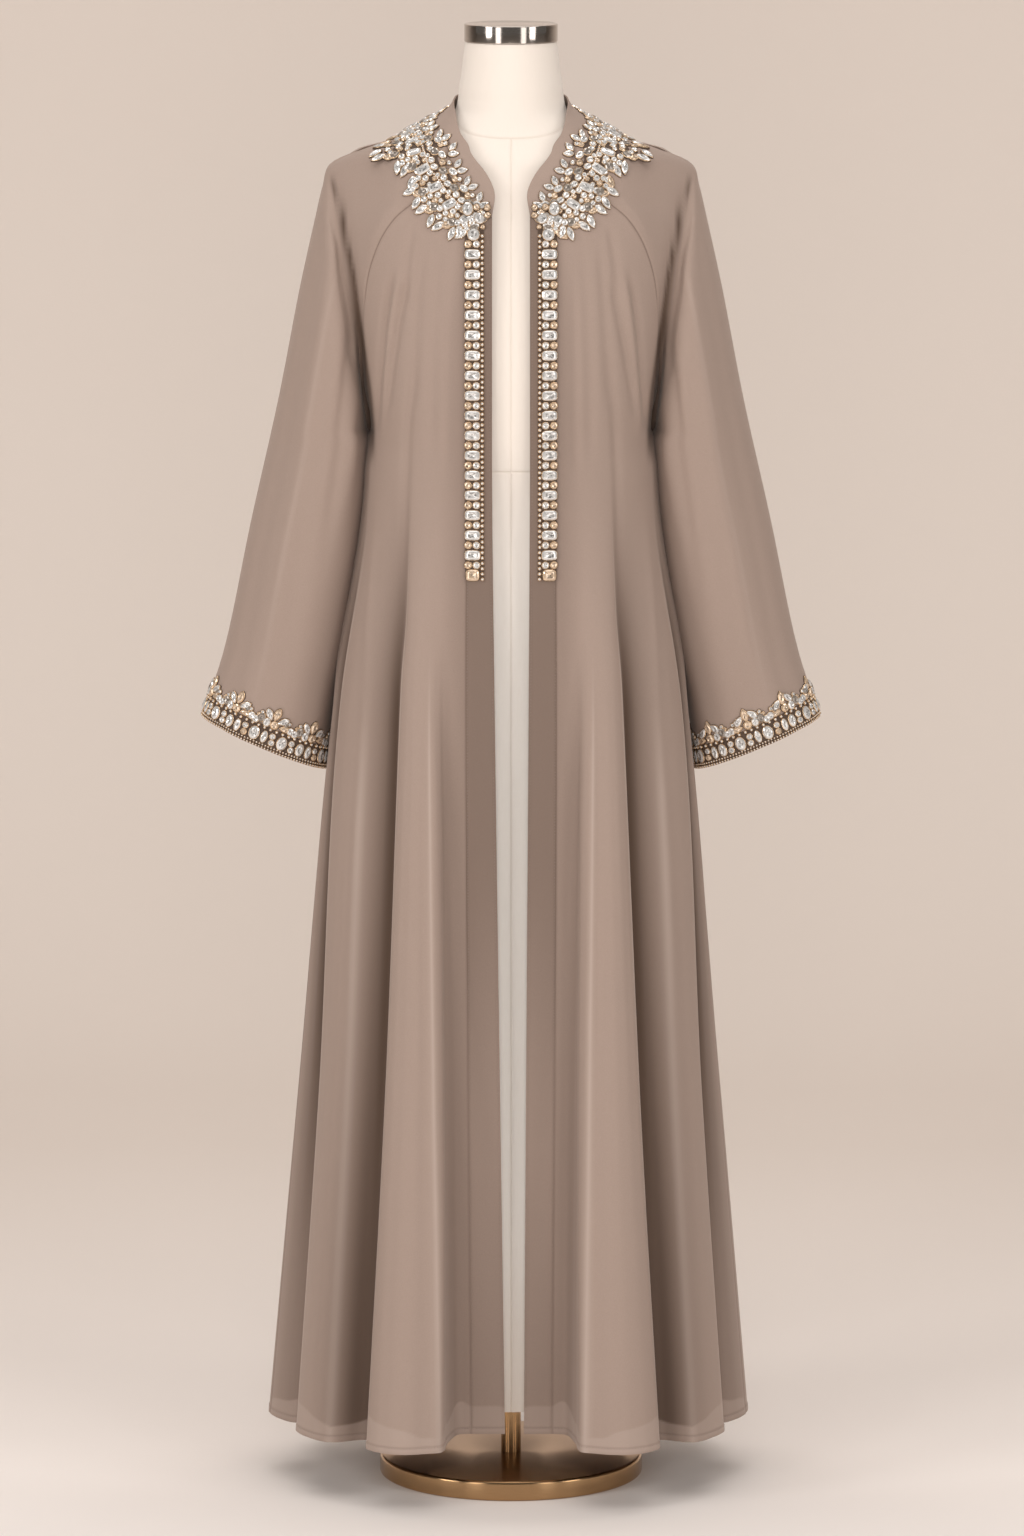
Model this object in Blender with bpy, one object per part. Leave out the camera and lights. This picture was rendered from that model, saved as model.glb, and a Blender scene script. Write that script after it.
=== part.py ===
"""Open-front abaya cloak on a limbless dress form.

Metres, +Z up. The front faces -Y and the origin is the middle of the base disc's underside.
Each cloth piece is a thin wall: its outer face is worked out from the tables below, and its
inner face is the same points moved in by the cloth's thickness.
"""

import math

import bpy
import numpy as np

# ---------------------------------------------------------------- driving sizes
CLOTH = 0.0020              # thickness of a cloth wall
SEAM_GAP = 0.00035          # space left between two pieces at a seam
HEM_Z = 0.067
CHEST_Z = 1.120             # above this the cloth follows the torso, below it hangs in folds
TANGENT_Z = 1.200           # the ring that sets how the folds leave the chest
UNDERARM_Z = 1.157

TRIM_LIFT = 0.0016          # air between the cloth and a stone-set trim
COLLAR_LIFT = 0.0026        # the same on the collar, where the cloth curves most
TRIM_THICK = 0.0032
CLOTH_ROWS_ABOVE_CHEST = 8
CLOTH_ROWS_BELOW_CHEST = 12
ROWS_CROWD_UP = 1.6         # above 1, the rows lie closer together towards the neck
CUFF_TRIM_BAND = 0.030      # height of the cuff's even band
CUFF_TRIM_FLOWER = 0.014    # how far the flower groups stand above it
CUFF_FLOWERS = 9

BASE_RADIUS = 0.145
BASE_HEIGHT = 0.022
POLE_RADIUS = 0.011
FLANGE_RADIUS = 0.023
FLANGE_THICK = 0.004
FORM_BOTTOM_Z = 0.087
NECK_TOP_Z = 1.5805
CAP_RADIUS = 0.0506
TOTAL_HEIGHT = 1.600
FIT_GAP = 0.0003            # space left between hard pieces that touch

SIDES = {"left": -1.0, "right": 1.0}

# Torso rings of the garment's outer face: z, half width, front depth, back depth.
TORSO = (
    (1.530, 0.0605, 0.0575, 0.0620),
    (1.519, 0.0620, 0.0590, 0.0645),
    (1.505, 0.0735, 0.0625, 0.0690),
    (1.497, 0.0890, 0.0650, 0.0725),
    (1.4875, 0.1070, 0.0690, 0.0765),
    (1.4735, 0.1330, 0.0745, 0.0815),
    (1.4665, 0.1600, 0.0775, 0.0845),
    (1.459, 0.1820, 0.0810, 0.0870),
    (1.450, 0.1930, 0.0850, 0.0900),
    (1.436, 0.1985, 0.0905, 0.0935),
    (1.410, 0.1965, 0.0990, 0.0990),
    (1.380, 0.1900, 0.1070, 0.1040),
    (1.330, 0.1810, 0.1150, 0.1090),
    (1.270, 0.1710, 0.1195, 0.1105),
    (1.200, 0.1590, 0.1210, 0.1085),
    (1.157, 0.1520, 0.1205, 0.1070),
    (1.120, 0.1565, 0.1200, 0.1070),
)

# Rings of the dress form: z, half width, front depth, back depth.
FORM = (
    (1.5805, 0.0495, 0.0495, 0.0495),
    (1.565, 0.0515, 0.0500, 0.0505),
    (1.549, 0.0532, 0.0505, 0.0515),
    (1.531, 0.0562, 0.0515, 0.0545),
    (1.5175, 0.0576, 0.0520, 0.0575),
    (1.505, 0.0620, 0.0535, 0.0620),
    (1.490, 0.0810, 0.0565, 0.0680),
    (1.478, 0.1030, 0.0610, 0.0725),
    (1.4660, 0.1310, 0.0665, 0.0765),
    (1.457, 0.1580, 0.0710, 0.0795),
    (1.447, 0.1730, 0.0740, 0.0815),
    (1.434, 0.1800, 0.0785, 0.0845),
    (1.410, 0.1820, 0.0860, 0.0895),
    (1.380, 0.1760, 0.0950, 0.0950),
    (1.330, 0.1650, 0.1055, 0.1005),
    (1.270, 0.1580, 0.1115, 0.1030),
    (1.200, 0.1460, 0.1125, 0.1005),
    (1.157, 0.1390, 0.1105, 0.0975),
    (1.100, 0.1320, 0.1030, 0.0930),
    (1.000, 0.1280, 0.0985, 0.0910),
    (0.800, 0.1270, 0.0965, 0.0930),
    (0.500, 0.1180, 0.0935, 0.0925),
    (0.250, 0.1100, 0.0915, 0.0910),
    (0.087, 0.1040, 0.0900, 0.0900),
)

# Neck seam and free edge of the neckband, from the opening round to the centre back.
# name, seam z, seam x, edge z, edge x. At the shoulder x is the ring's own half width.
NECK = (
    ("opening", 1.4000, 0.0490, 1.4000, 0.0203),
    ("front_low", 1.4190, 0.0505, 1.4300, 0.0186),
    ("front_mid", 1.4410, 0.0560, 1.4590, 0.0375),
    ("front_high", 1.4670, 0.0665, 1.4820, 0.0510),
    ("near_shoulder", 1.4890, 0.0775, 1.5010, 0.0590),
    ("shoulder", 1.5015, None, 1.5190, None),
    ("back_side", 1.5050, 0.0560, 1.5235, 0.0450),
    ("back_mid", 1.5065, 0.0280, 1.5245, 0.0225),
    ("centre_back", 1.5070, 0.0000, 1.5250, 0.0000),
)
NECK_SHOULDER_ROW = 5
FRONT_RAGLAN_AT = 2.6       # rows of NECK at which the raglan seams start
BACK_RAGLAN_AT = 6.0

# Raglan seams below their start on the neck seam: z, x. The last row is the underarm.
FRONT_RAGLAN = (
    (1.4450, 0.0790),
    (1.4170, 0.1020),
    (1.3980, 0.1240),
    (1.3770, 0.1385),
    (1.3560, 0.1475),
    (1.3330, 0.1540),
    (1.3070, 0.1575),
    (1.2830, 0.1590),
    (1.2590, 0.1580),
    (1.2350, 0.1570),
    (1.1850, 0.1535),
    (UNDERARM_Z, 0.1520),
)
BACK_RAGLAN = (
    (1.4900, 0.0780),
    (1.4600, 0.1010),
    (1.4200, 0.1230),
    (1.3800, 0.1390),
    (1.3400, 0.1490),
    (1.3000, 0.1550),
    (1.2600, 0.1570),
    (1.2200, 0.1560),
    (1.1850, 0.1535),
    (UNDERARM_Z, 0.1520),
)

# Folds of the skirt, one row for each crest, flank, edge and groove, from the opening to
# the centre back: name, chest x, then x and y at hip, knee and hem, and how much further
# out the right-hand side's row lies at the hem.
HIP_Z = 0.87
KNEE_Z = 0.44
FOLDS = (
    ("opening_edge", 0.0204, 0.0175, -0.1280, 0.0117, -0.1220, 0.0066, -0.1080, 0.0075),
    ("band_seam", 0.0488, 0.0490, -0.1290, 0.0467, -0.1230, 0.0438, -0.1085, 0.0015),
    ("recess", 0.0630, 0.0660, -0.1300, 0.0605, -0.1280, 0.0585, -0.1130, 0.0015),
    ("third_inner_flank", 0.0760, 0.0775, -0.1335, 0.0722, -0.1450, 0.0690, -0.1480, 0.0017),
    ("third_inner_crest", 0.0850, 0.0880, -0.1380, 0.0850, -0.1660, 0.0820, -0.1930, 0.0020),
    ("third_crest", 0.0945, 0.1020, -0.1370, 0.1080, -0.1710, 0.1147, -0.2060, 0.0030),
    ("third_outer_crest", 0.1030, 0.1130, -0.1310, 0.1280, -0.1620, 0.1450, -0.1940, 0.0040),
    ("third_edge", 0.1084, 0.1195, -0.1220, 0.1372, -0.1470, 0.1573, -0.1710, 0.0047),
    ("third_groove", 0.1120, 0.1210, -0.1120, 0.1330, -0.1280, 0.1460, -0.1430, 0.0045),
    ("second_flank", 0.1210, 0.1330, -0.1050, 0.1470, -0.1220, 0.1600, -0.1360, 0.0035),
    ("second_crest", 0.1340, 0.1560, -0.0930, 0.1770, -0.1180, 0.1972, -0.1480, 0.0010),
    ("second_outer_crest", 0.1435, 0.1740, -0.0740, 0.1985, -0.0970, 0.2220, -0.1230, -0.0010),
    ("second_edge", 0.1500, 0.1850, -0.0500, 0.2099, -0.0690, 0.2358, -0.0880, -0.0018),
    ("second_groove", 0.1530, 0.1835, -0.0370, 0.2050, -0.0520, 0.2270, -0.0640, -0.0030),
    ("first_flank", 0.1555, 0.1890, -0.0220, 0.2190, -0.0380, 0.2450, -0.0500, -0.0050),
    ("side_seam", 0.1565, 0.1925, -0.0110, 0.2327, -0.0060, 0.2667, -0.0080, -0.0065),
    ("back_first_crest", 0.1553, 0.1860, 0.0180, 0.2290, 0.0280, 0.2620, 0.0360, -0.0040),
    ("back_first_groove", 0.1510, 0.1760, 0.0420, 0.2090, 0.0560, 0.2300, 0.0680, 0.0020),
    ("back_second_flank", 0.1470, 0.1725, 0.0610, 0.2050, 0.0800, 0.2330, 0.0950, 0.0040),
    ("back_second_crest", 0.1380, 0.1560, 0.0850, 0.1850, 0.1170, 0.2120, 0.1430, 0.0010),
    ("back_second_inner", 0.1270, 0.1370, 0.0970, 0.1570, 0.1270, 0.1780, 0.1570, -0.0040),
    ("back_second_groove", 0.1170, 0.1200, 0.1010, 0.1310, 0.1170, 0.1420, 0.1290, -0.0060),
    ("back_third_flank", 0.1070, 0.1090, 0.1100, 0.1250, 0.1410, 0.1380, 0.1640, -0.0060),
    ("back_third_crest", 0.0900, 0.0890, 0.1230, 0.1030, 0.1670, 0.1120, 0.2020, -0.0050),
    ("back_third_inner", 0.0700, 0.0670, 0.1270, 0.0730, 0.1640, 0.0760, 0.1960, -0.0060),
    ("back_third_groove", 0.0500, 0.0470, 0.1220, 0.0470, 0.1370, 0.0460, 0.1420, -0.0060),
    ("centre_flank", 0.0300, 0.0300, 0.1270, 0.0310, 0.1540, 0.0320, 0.1720, -0.0040),
    ("centre_back", 0.0000, 0.0000, 0.1340, 0.0000, 0.1710, 0.0000, 0.2050, 0.0),
)
ROW_NAMES = [row[0] for row in FOLDS]
BAND_ROW = 1
NECK_CORNER_ROW = 5         # the front panel's column that ends where the raglan seam starts
SIDE_ROW = 15
BACK_CORNER_ROW = 22
CENTRE_ROW = len(FOLDS) - 1

# The body's pieces from the opening round to the back, each with the fold row where it ends.
# They part down a groove or a crest, so that none of them folds round a space.
PANELS = (
    ("front_band_{}", "band_seam"),
    ("front_{}_inner", "third_groove"),
    ("front_{}_middle", "second_outer_crest"),
    ("front_{}_outer", "second_edge"),
    ("front_{}_return", "second_groove"),
    ("front_{}_side", "side_seam"),
    ("back_{}_side", "back_first_groove"),
    ("back_{}_outer", "back_second_crest"),
    ("back_{}_inner", "back_second_groove"),
)

# Sleeve rings after the shoulder: outer x, z, inner x, z, middle y, half depth.
SLEEVE = (
    (0.1960, 1.4480, 0.1550, 1.1515, 0.004, 0.0500),
    (0.2040, 1.4240, 0.1580, 1.1400, 0.006, 0.0620),
    (0.2125, 1.3880, 0.1608, 1.1180, 0.008, 0.0690),
    (0.2286, 1.3160, 0.1632, 1.0750, 0.011, 0.0720),
    (0.2530, 1.1920, 0.1730, 1.0000, 0.015, 0.0710),
    (0.2830, 1.0600, 0.1860, 0.9150, 0.018, 0.0670),
    (0.3140, 0.9150, 0.1950, 0.8400, 0.020, 0.0620),
    (0.3380, 0.8430, 0.2005, 0.7850, 0.020, 0.0600),
)
NECK_STEPS_AHEAD = 3        # columns of the sleeve's share of the neckline, before the shoulder
NECK_STEPS_BEHIND = 2       # and behind it
NECK_ANGLE = math.radians(24)   # how far round the sleeve its share of the neckline reaches
SHOULDER_Z = 1.4735         # the sleeve's top line leaves the torso's surface here
SHOULDER_REACH = 0.080      # how far the flat shoulder part reaches out from the raglan seam
SHOULDER_SPREAD = math.radians(38)
RAGLAN_STRIP = 0.005        # the same, down the front and back
UNDERARM_LIFT = 0.0016      # how far the sleeve stands off the body where it folds back down

# Stone-set collar: inner z, x and outer z, x on the torso, aligned with the rows of NECK.
COLLAR = (
    (1.4030, 0.0265, 1.3830, 0.0400),
    (1.4200, 0.0310, 1.3840, 0.0640),
    (1.4400, 0.0460, 1.4000, 0.0880),
    (1.4620, 0.0585, 1.4250, 0.1070),
    (1.4830, 0.0705, 1.4500, 0.1180),
    (1.5035, None, 1.4770, None),
    (1.5080, 0.0600, 1.4700, 0.0900),
    (1.5095, 0.0300, 1.4700, 0.0450),
    (1.5100, 0.0000, 1.4700, 0.0000),
)
TRIM_BAND_TOP_Z = 1.3730
TRIM_BAND_BOTTOM_Z = 1.0075
TRIM_BAND_FROM = 0.24       # share of the front band's width
TRIM_BAND_TO = 0.93


# ---------------------------------------------------------------- interpolation
def smooth_through(knots, values, at):
    """Cubic curve through the values, which are rows, with slopes from their neighbours."""
    knots = np.asarray(knots, float)
    values = np.asarray(values, float)
    at = np.clip(np.asarray(at, float), knots[0], knots[-1])
    steps = np.diff(knots)
    shape = (-1,) + (1,) * (values.ndim - 1)
    rates = np.diff(values, axis=0) / steps.reshape(shape)
    slopes = np.empty_like(values)
    slopes[0] = rates[0]
    slopes[-1] = rates[-1]
    before = steps[:-1].reshape(shape)
    after = steps[1:].reshape(shape)
    slopes[1:-1] = (rates[:-1] * after + rates[1:] * before) / (before + after)
    cell = np.clip(np.searchsorted(knots, at, side="right") - 1, 0, len(steps) - 1)
    width = steps[cell]
    t = (at - knots[cell]) / width
    shape = t.shape + (1,) * (values.ndim - 1)
    t = t.reshape(shape)
    width = width.reshape(shape)
    start = (1 + 2 * t) * (1 - t) ** 2 * values[cell] + t * (1 - t) ** 2 * width * slopes[cell]
    end = t * t * (3 - 2 * t) * values[cell + 1] + t * t * (t - 1) * width * slopes[cell + 1]
    return start + end


def ease(t):
    t = np.clip(t, 0.0, 1.0)
    return t * t * (3 - 2 * t)


def spaced(start, end, count):
    return np.linspace(start, end, count)


# ---------------------------------------------------------------- rings
def ring_sizes(table, z):
    rows = np.array(table)[::-1]
    sizes = smooth_through(rows[:, 0], rows[:, 1:], z)
    return sizes[..., 0], sizes[..., 1], sizes[..., 2]


def squareness(z):
    """Round at the neck, a little squarer from the shoulders down."""
    return 1.0 - 0.12 * ease((1.51 - np.asarray(z)) / 0.06)


def ring_point(table, z, turn):
    """Point of a ring at a turn: 0 at the front, a quarter turn at +X, half a turn at the back."""
    z = np.asarray(z, float)
    turn = np.asarray(turn, float)
    half, front, back = ring_sizes(table, z)
    power = squareness(z)
    sine = np.sin(turn)
    cosine = np.cos(turn)
    x = half * np.sign(sine) * np.abs(sine) ** power
    depth = np.where(cosine > 0, front, back)
    y = -depth * np.sign(cosine) * np.abs(cosine) ** power
    return np.stack(np.broadcast_arrays(x, y, z), axis=-1)


def turn_at(z, x, behind=False):
    """The turn at which a torso ring reaches x, on its front or its back."""
    half = ring_sizes(TORSO, z)[0]
    share = np.clip(x / half, 0.0, 1.0) ** (1 / squareness(z))
    turn = np.arcsin(share)
    return np.pi - turn if behind else turn


def torso_normals(places, side):
    """Outward unit normals of the torso at (z, turn) places."""
    z, turn = np.asarray(places, float).T
    step = 0.002
    across = ring_point(TORSO, z, turn + step) - ring_point(TORSO, z, turn - step)
    up = ring_point(TORSO, z + step, turn) - ring_point(TORSO, z - step, turn)
    normals = np.cross(across, up)
    normals[:, 0] *= side
    return normals / np.linalg.norm(normals, axis=1, keepdims=True)


# ---------------------------------------------------------------- seams on the torso
def placed(rows, z_column, x_column):
    """(z, turn) for a table that runs from the opening, over the shoulder, to the back."""
    found = []
    for index, row in enumerate(rows):
        z = row[z_column]
        if row[x_column] is None:
            turn = np.pi / 2
        else:
            turn = turn_at(z, row[x_column], index > NECK_SHOULDER_ROW)
        found.append((z, float(turn)))
    return np.array(found)


NECK_SEAM = placed(NECK, 1, 2)
NECK_EDGE = placed(NECK, 3, 4)
COLLAR_INNER = placed(COLLAR, 0, 1)
COLLAR_OUTER = placed(COLLAR, 2, 3)
NECK_KNOTS = np.arange(len(NECK))


def neck_seam(at):
    return smooth_through(NECK_KNOTS, NECK_SEAM, at)


def raglan_line(start, rows, behind):
    """(z, turn) points from the neck seam to the underarm."""
    points = [tuple(neck_seam(start))]
    points += [(z, float(turn_at(z, x, behind))) for z, x in rows[:-1]]
    points.append((UNDERARM_Z, np.pi / 2))
    return np.array(points)


FRONT_SEAM = raglan_line(FRONT_RAGLAN_AT, FRONT_RAGLAN, False)
BACK_SEAM = raglan_line(BACK_RAGLAN_AT, BACK_RAGLAN, True)


def lengths_along(line):
    points = ring_point(TORSO, line[:, 0], line[:, 1])
    steps = np.linalg.norm(np.diff(points, axis=0), axis=1)
    return np.concatenate([[0.0], np.cumsum(steps)])


def along(line, share):
    """(z, turn) at a share of a seam's length."""
    lengths = lengths_along(line)
    return smooth_through(lengths, line, np.asarray(share) * lengths[-1])


def seam_at_height(line, z):
    """(z, turn) of a raglan seam at given heights."""
    return smooth_through(line[::-1, 0], line[::-1], z)


# ---------------------------------------------------------------- body surface
def fold_knots():
    """Spacing of the fold rows, from the distances between them at the hem and the knee."""
    rows = np.array([row[2:8] for row in FOLDS])
    knee = np.linalg.norm(np.diff(rows[:, 2:4], axis=0), axis=1)
    hem = np.linalg.norm(np.diff(rows[:, 4:6], axis=0), axis=1)
    return np.concatenate([[0.0], np.cumsum(np.sqrt((knee + hem) / 2))])


FOLD_KNOTS = fold_knots()


def knot_at(row):
    return float(np.interp(row, np.arange(len(FOLDS)), FOLD_KNOTS))


def top_of_column(row):
    """(z, turn) where a column of the body ends, for fold rows counted from the opening."""
    if row <= BAND_ROW:
        start = NECK_EDGE[0]
        end = NECK_SEAM[0]
        return start + (end - start) * row / BAND_ROW
    if row <= NECK_CORNER_ROW:
        share = (row - BAND_ROW) / (NECK_CORNER_ROW - BAND_ROW)
        return neck_seam(share * FRONT_RAGLAN_AT)
    if row <= SIDE_ROW:
        return along(FRONT_SEAM, (row - NECK_CORNER_ROW) / (SIDE_ROW - NECK_CORNER_ROW))
    if row <= BACK_CORNER_ROW:
        return along(BACK_SEAM, 1 - (row - SIDE_ROW) / (BACK_CORNER_ROW - SIDE_ROW))
    share = (row - BACK_CORNER_ROW) / (CENTRE_ROW - BACK_CORNER_ROW)
    return neck_seam(BACK_RAGLAN_AT + share * (len(NECK) - 1 - BACK_RAGLAN_AT))


def fold_rings(side):
    """x and y of every fold row at the hip, knee and hem, for one side."""
    rings = []
    for column, share in ((2, 0.2), (4, 0.6), (6, 1.0)):
        ring = np.array([row[column:column + 2] for row in FOLDS])
        if side > 0:
            ring[:, 0] += share * np.array([row[8] for row in FOLDS])
        rings.append(ring)
    return rings


def chest_turn(row):
    turns = [float(turn_at(CHEST_Z, r[1], i > SIDE_ROW)) for i, r in enumerate(FOLDS)]
    return smooth_through(FOLD_KNOTS, np.array(turns), knot_at(row))


def body_column(side, row, upper_rows, skirt_rows):
    """Points down one column of the body's outer face, from its top seam to the hem."""
    top = top_of_column(row)
    top_x = ring_point(TORSO, *top)[0]
    turn_below = chest_turn(row)
    share = spaced(0, 1, upper_rows + 1)[:-1] ** ROWS_CROWD_UP
    z = top[0] + (CHEST_Z - top[0]) * share
    swing = 1 - 2 * ease((1 - share) / 2)
    x_below = ring_point(TORSO, CHEST_Z, turn_below)[0]
    straight = turn_at(z, top_x + (x_below - top_x) * swing, row > SIDE_ROW)
    fanned = top[1] + (turn_below - top[1]) * swing
    sideways = ease((x_below / ring_sizes(TORSO, CHEST_Z)[0] - 0.80) / 0.18)
    upper = ring_point(TORSO, z, straight + (fanned - straight) * sideways)
    tangent = ring_point(TORSO, TANGENT_Z, turn_below)
    chest = ring_point(TORSO, CHEST_Z, turn_below)
    rings = [smooth_through(FOLD_KNOTS, ring, knot_at(row)) for ring in fold_rings(side)]
    keys = [(*rings[2], HEM_Z), (*rings[1], KNEE_Z), (*rings[0], HIP_Z), chest, tangent]
    keys = np.array([tuple(key) for key in keys])
    heights = HEM_Z + (CHEST_Z - HEM_Z) * spaced(1, 0, skirt_rows + 1)
    skirt = smooth_through(keys[:, 2], keys, heights)
    column = np.concatenate([upper, skirt])
    column[:, 0] *= side
    return column


# ---------------------------------------------------------------- walls
def normals_of(grid, ring=False):
    """Unit normals of a grid of points, from the differences across and along it."""
    if ring:
        across = np.roll(grid, -1, axis=0) - np.roll(grid, 1, axis=0)
    else:
        across = np.gradient(grid, axis=0)
    down = np.gradient(grid, axis=1)
    normals = np.cross(across, down)
    return normals / np.maximum(np.linalg.norm(normals, axis=2, keepdims=True), 1e-12)


def facing(normals, grid, centre_of):
    """The normals turned to point away from the centre line."""
    middle = (normals.shape[0] // 2, normals.shape[1] // 2)
    out = grid[middle] - centre_of
    return normals if np.dot(normals[middle], out) > 0 else -normals


def wall(name, outer, inner, ring=False):
    """Closed mesh between two grids of points. A ring's columns close on themselves."""
    columns, rows = outer.shape[:2]
    points = np.concatenate([outer.reshape(-1, 3), inner.reshape(-1, 3)])
    half = columns * rows
    faces = []

    def at(layer, i, j):
        return layer * half + (i % columns) * rows + j

    last = columns if ring else columns - 1
    for i in range(last):
        for j in range(rows - 1):
            a, b = at(0, i, j), at(0, i + 1, j)
            c, d = at(0, i + 1, j + 1), at(0, i, j + 1)
            faces += [(a, b, c), (a, c, d)]
            a, b, c, d = a + half, b + half, c + half, d + half
            faces += [(a, c, b), (a, d, c)]
        for j, turned in ((0, True), (rows - 1, False)):
            a, b = at(0, i, j), at(0, i + 1, j)
            c, d = at(1, i + 1, j), at(1, i, j)
            faces += [(a, c, b), (a, d, c)] if turned else [(a, b, c), (a, c, d)]
    if not ring:
        for i, turned in ((0, False), (columns - 1, True)):
            for j in range(rows - 1):
                a, b = at(0, i, j), at(0, i, j + 1)
                c, d = at(1, i, j + 1), at(1, i, j)
                faces += [(a, c, b), (a, d, c)] if turned else [(a, b, c), (a, c, d)]
    return mesh_object(name, points, faces)


def signed_volume(points, faces):
    corners = points[np.array(faces)]
    return np.einsum("ij,ij->i", corners[:, 0], np.cross(corners[:, 1], corners[:, 2])).sum() / 6


def mesh_object(name, points, faces):
    points = np.asarray(points, float)
    if signed_volume(points, faces) < 0:
        faces = [face[::-1] for face in faces]
    mesh = bpy.data.meshes.new(name)
    mesh.from_pydata(points.tolist(), [], faces)
    mesh.update()
    mesh.shade_smooth()
    mesh.set_sharp_from_angle(angle=math.radians(40))
    thing = bpy.data.objects.new(name, mesh)
    bpy.context.scene.collection.objects.link(thing)
    return thing


def pulled_in(grid, column, distance):
    """The grid with one edge column moved towards its neighbour by a distance."""
    grid = grid.copy()
    neighbour = 1 if column == 0 else -2
    step = grid[neighbour] - grid[column]
    grid[column] += step / np.linalg.norm(step, axis=1, keepdims=True) * distance
    return grid


# ---------------------------------------------------------------- garment pieces
def half_body(side):
    """Outer points and normals of one side of the body, one column for each row of FOLDS."""
    counts = (CLOTH_ROWS_ABOVE_CHEST, CLOTH_ROWS_BELOW_CHEST)
    grid = np.array([body_column(side, row, *counts) for row in range(len(FOLDS))])
    normals = facing(normals_of(grid), grid, np.array([0.0, 0.0, 0.9]))
    tops = np.array([top_of_column(row) for row in range(len(FOLDS))])
    normals[:, 0] = torso_normals(tops, side)
    return grid, normals


def build_body():
    centre_backs = []
    for side_name, side in SIDES.items():
        grid, normals = half_body(side)
        first = grid[:, 1] - grid[:, 0]
        grid[:, 0] += first / np.linalg.norm(first, axis=1, keepdims=True) * 2 * SEAM_GAP
        inner = grid - normals * CLOTH
        start = 0
        for name, last_row in PANELS:
            end = ROW_NAMES.index(last_row)
            columns = slice(start, end + 1)
            outer_edge = pulled_in(grid[columns], -1, SEAM_GAP)
            inner_edge = pulled_in(inner[columns], -1, SEAM_GAP)
            wall(name.format(side_name), outer_edge, inner_edge)
            start = end
        centre_backs.append((grid[start:], inner[start:]))
        strip = slice(0, BAND_ROW + 1)
        build_front_trim(side_name, grid[strip], normals[strip])
    (left, left_inner), (right, right_inner) = centre_backs
    outer = np.concatenate([left, right[::-1][1:]])
    inner = np.concatenate([left_inner, right_inner[::-1][1:]])
    middle = len(left) - 1
    inner[middle] = outer[middle] - np.array([0.0, CLOTH, 0.0])
    wall("back_centre", outer, inner)


def strip_between(low, high, across, count):
    """(z, turn) grid between two lines given at the same rows of NECK."""
    rows = smooth_through(NECK_KNOTS, low, across)
    ends = smooth_through(NECK_KNOTS, high, across)
    share = spaced(0, 1, count)[None, :, None]
    return rows[:, None, :] * (1 - share) + ends[:, None, :] * share


def both_sides(places):
    """A grid that runs from the left opening round the back to the right opening."""
    points = ring_point(TORSO, places[..., 0], places[..., 1])
    left = points * np.array([-1.0, 1.0, 1.0])
    return np.concatenate([left, points[::-1][1:]])


def neck_samples():
    """Rows of NECK at which the pieces along the neck seam have their columns."""
    front = spaced(0, FRONT_RAGLAN_AT, NECK_CORNER_ROW - BAND_ROW + 1)
    back = spaced(BACK_RAGLAN_AT, len(NECK) - 1, CENTRE_ROW - BACK_CORNER_ROW + 1)
    before = spaced(FRONT_RAGLAN_AT, NECK_SHOULDER_ROW, NECK_STEPS_AHEAD + 1)
    behind = spaced(NECK_SHOULDER_ROW, BACK_RAGLAN_AT, NECK_STEPS_BEHIND + 1)
    return np.concatenate([front[:-1], before[:-1], behind[:-1], back])


def build_neckband():
    across = neck_samples()
    places = strip_between(NECK_SEAM, NECK_EDGE, across, 4)
    points = both_sides(places)
    normals = facing(normals_of(points), points, np.array([0.0, 0.0, 1.5]))
    step = points[:, 1] - points[:, 0]
    points[:, 0] += step / np.linalg.norm(step, axis=1, keepdims=True) * SEAM_GAP
    first = points[0] + np.array([0.0, 0.0, SEAM_GAP])
    last = points[-1] + np.array([0.0, 0.0, SEAM_GAP])
    points[0], points[-1] = first, last
    wall("neckband", points, points - normals * CLOTH)


def sleeve_edge():
    """The sleeve's columns: the angle round the sleeve and the (z, turn) of its sewn edge."""
    angles = []
    edge = []
    for i in range(NECK_STEPS_AHEAD):
        share = i / NECK_STEPS_AHEAD
        angles.append(NECK_ANGLE * share)
        edge.append(neck_seam(NECK_SHOULDER_ROW + (FRONT_RAGLAN_AT - NECK_SHOULDER_ROW) * share))
    for row in range(NECK_CORNER_ROW, BACK_CORNER_ROW + 1):
        place = top_of_column(row)
        top = top_of_column(NECK_CORNER_ROW if row <= SIDE_ROW else BACK_CORNER_ROW)
        reach = (top[0] - UNDERARM_Z) / (1 + math.cos(NECK_ANGLE))
        angle = math.acos(np.clip((place[0] - UNDERARM_Z) / reach - 1, -1, 1))
        angles.append(angle if row <= SIDE_ROW else 2 * math.pi - angle)
        edge.append(place)
    for i in range(NECK_STEPS_BEHIND - 1, 0, -1):
        share = i / NECK_STEPS_BEHIND
        angles.append(2 * math.pi - NECK_ANGLE * share)
        edge.append(neck_seam(NECK_SHOULDER_ROW + (BACK_RAGLAN_AT - NECK_SHOULDER_ROW) * share))
    return np.array(angles), np.array(edge)


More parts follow.
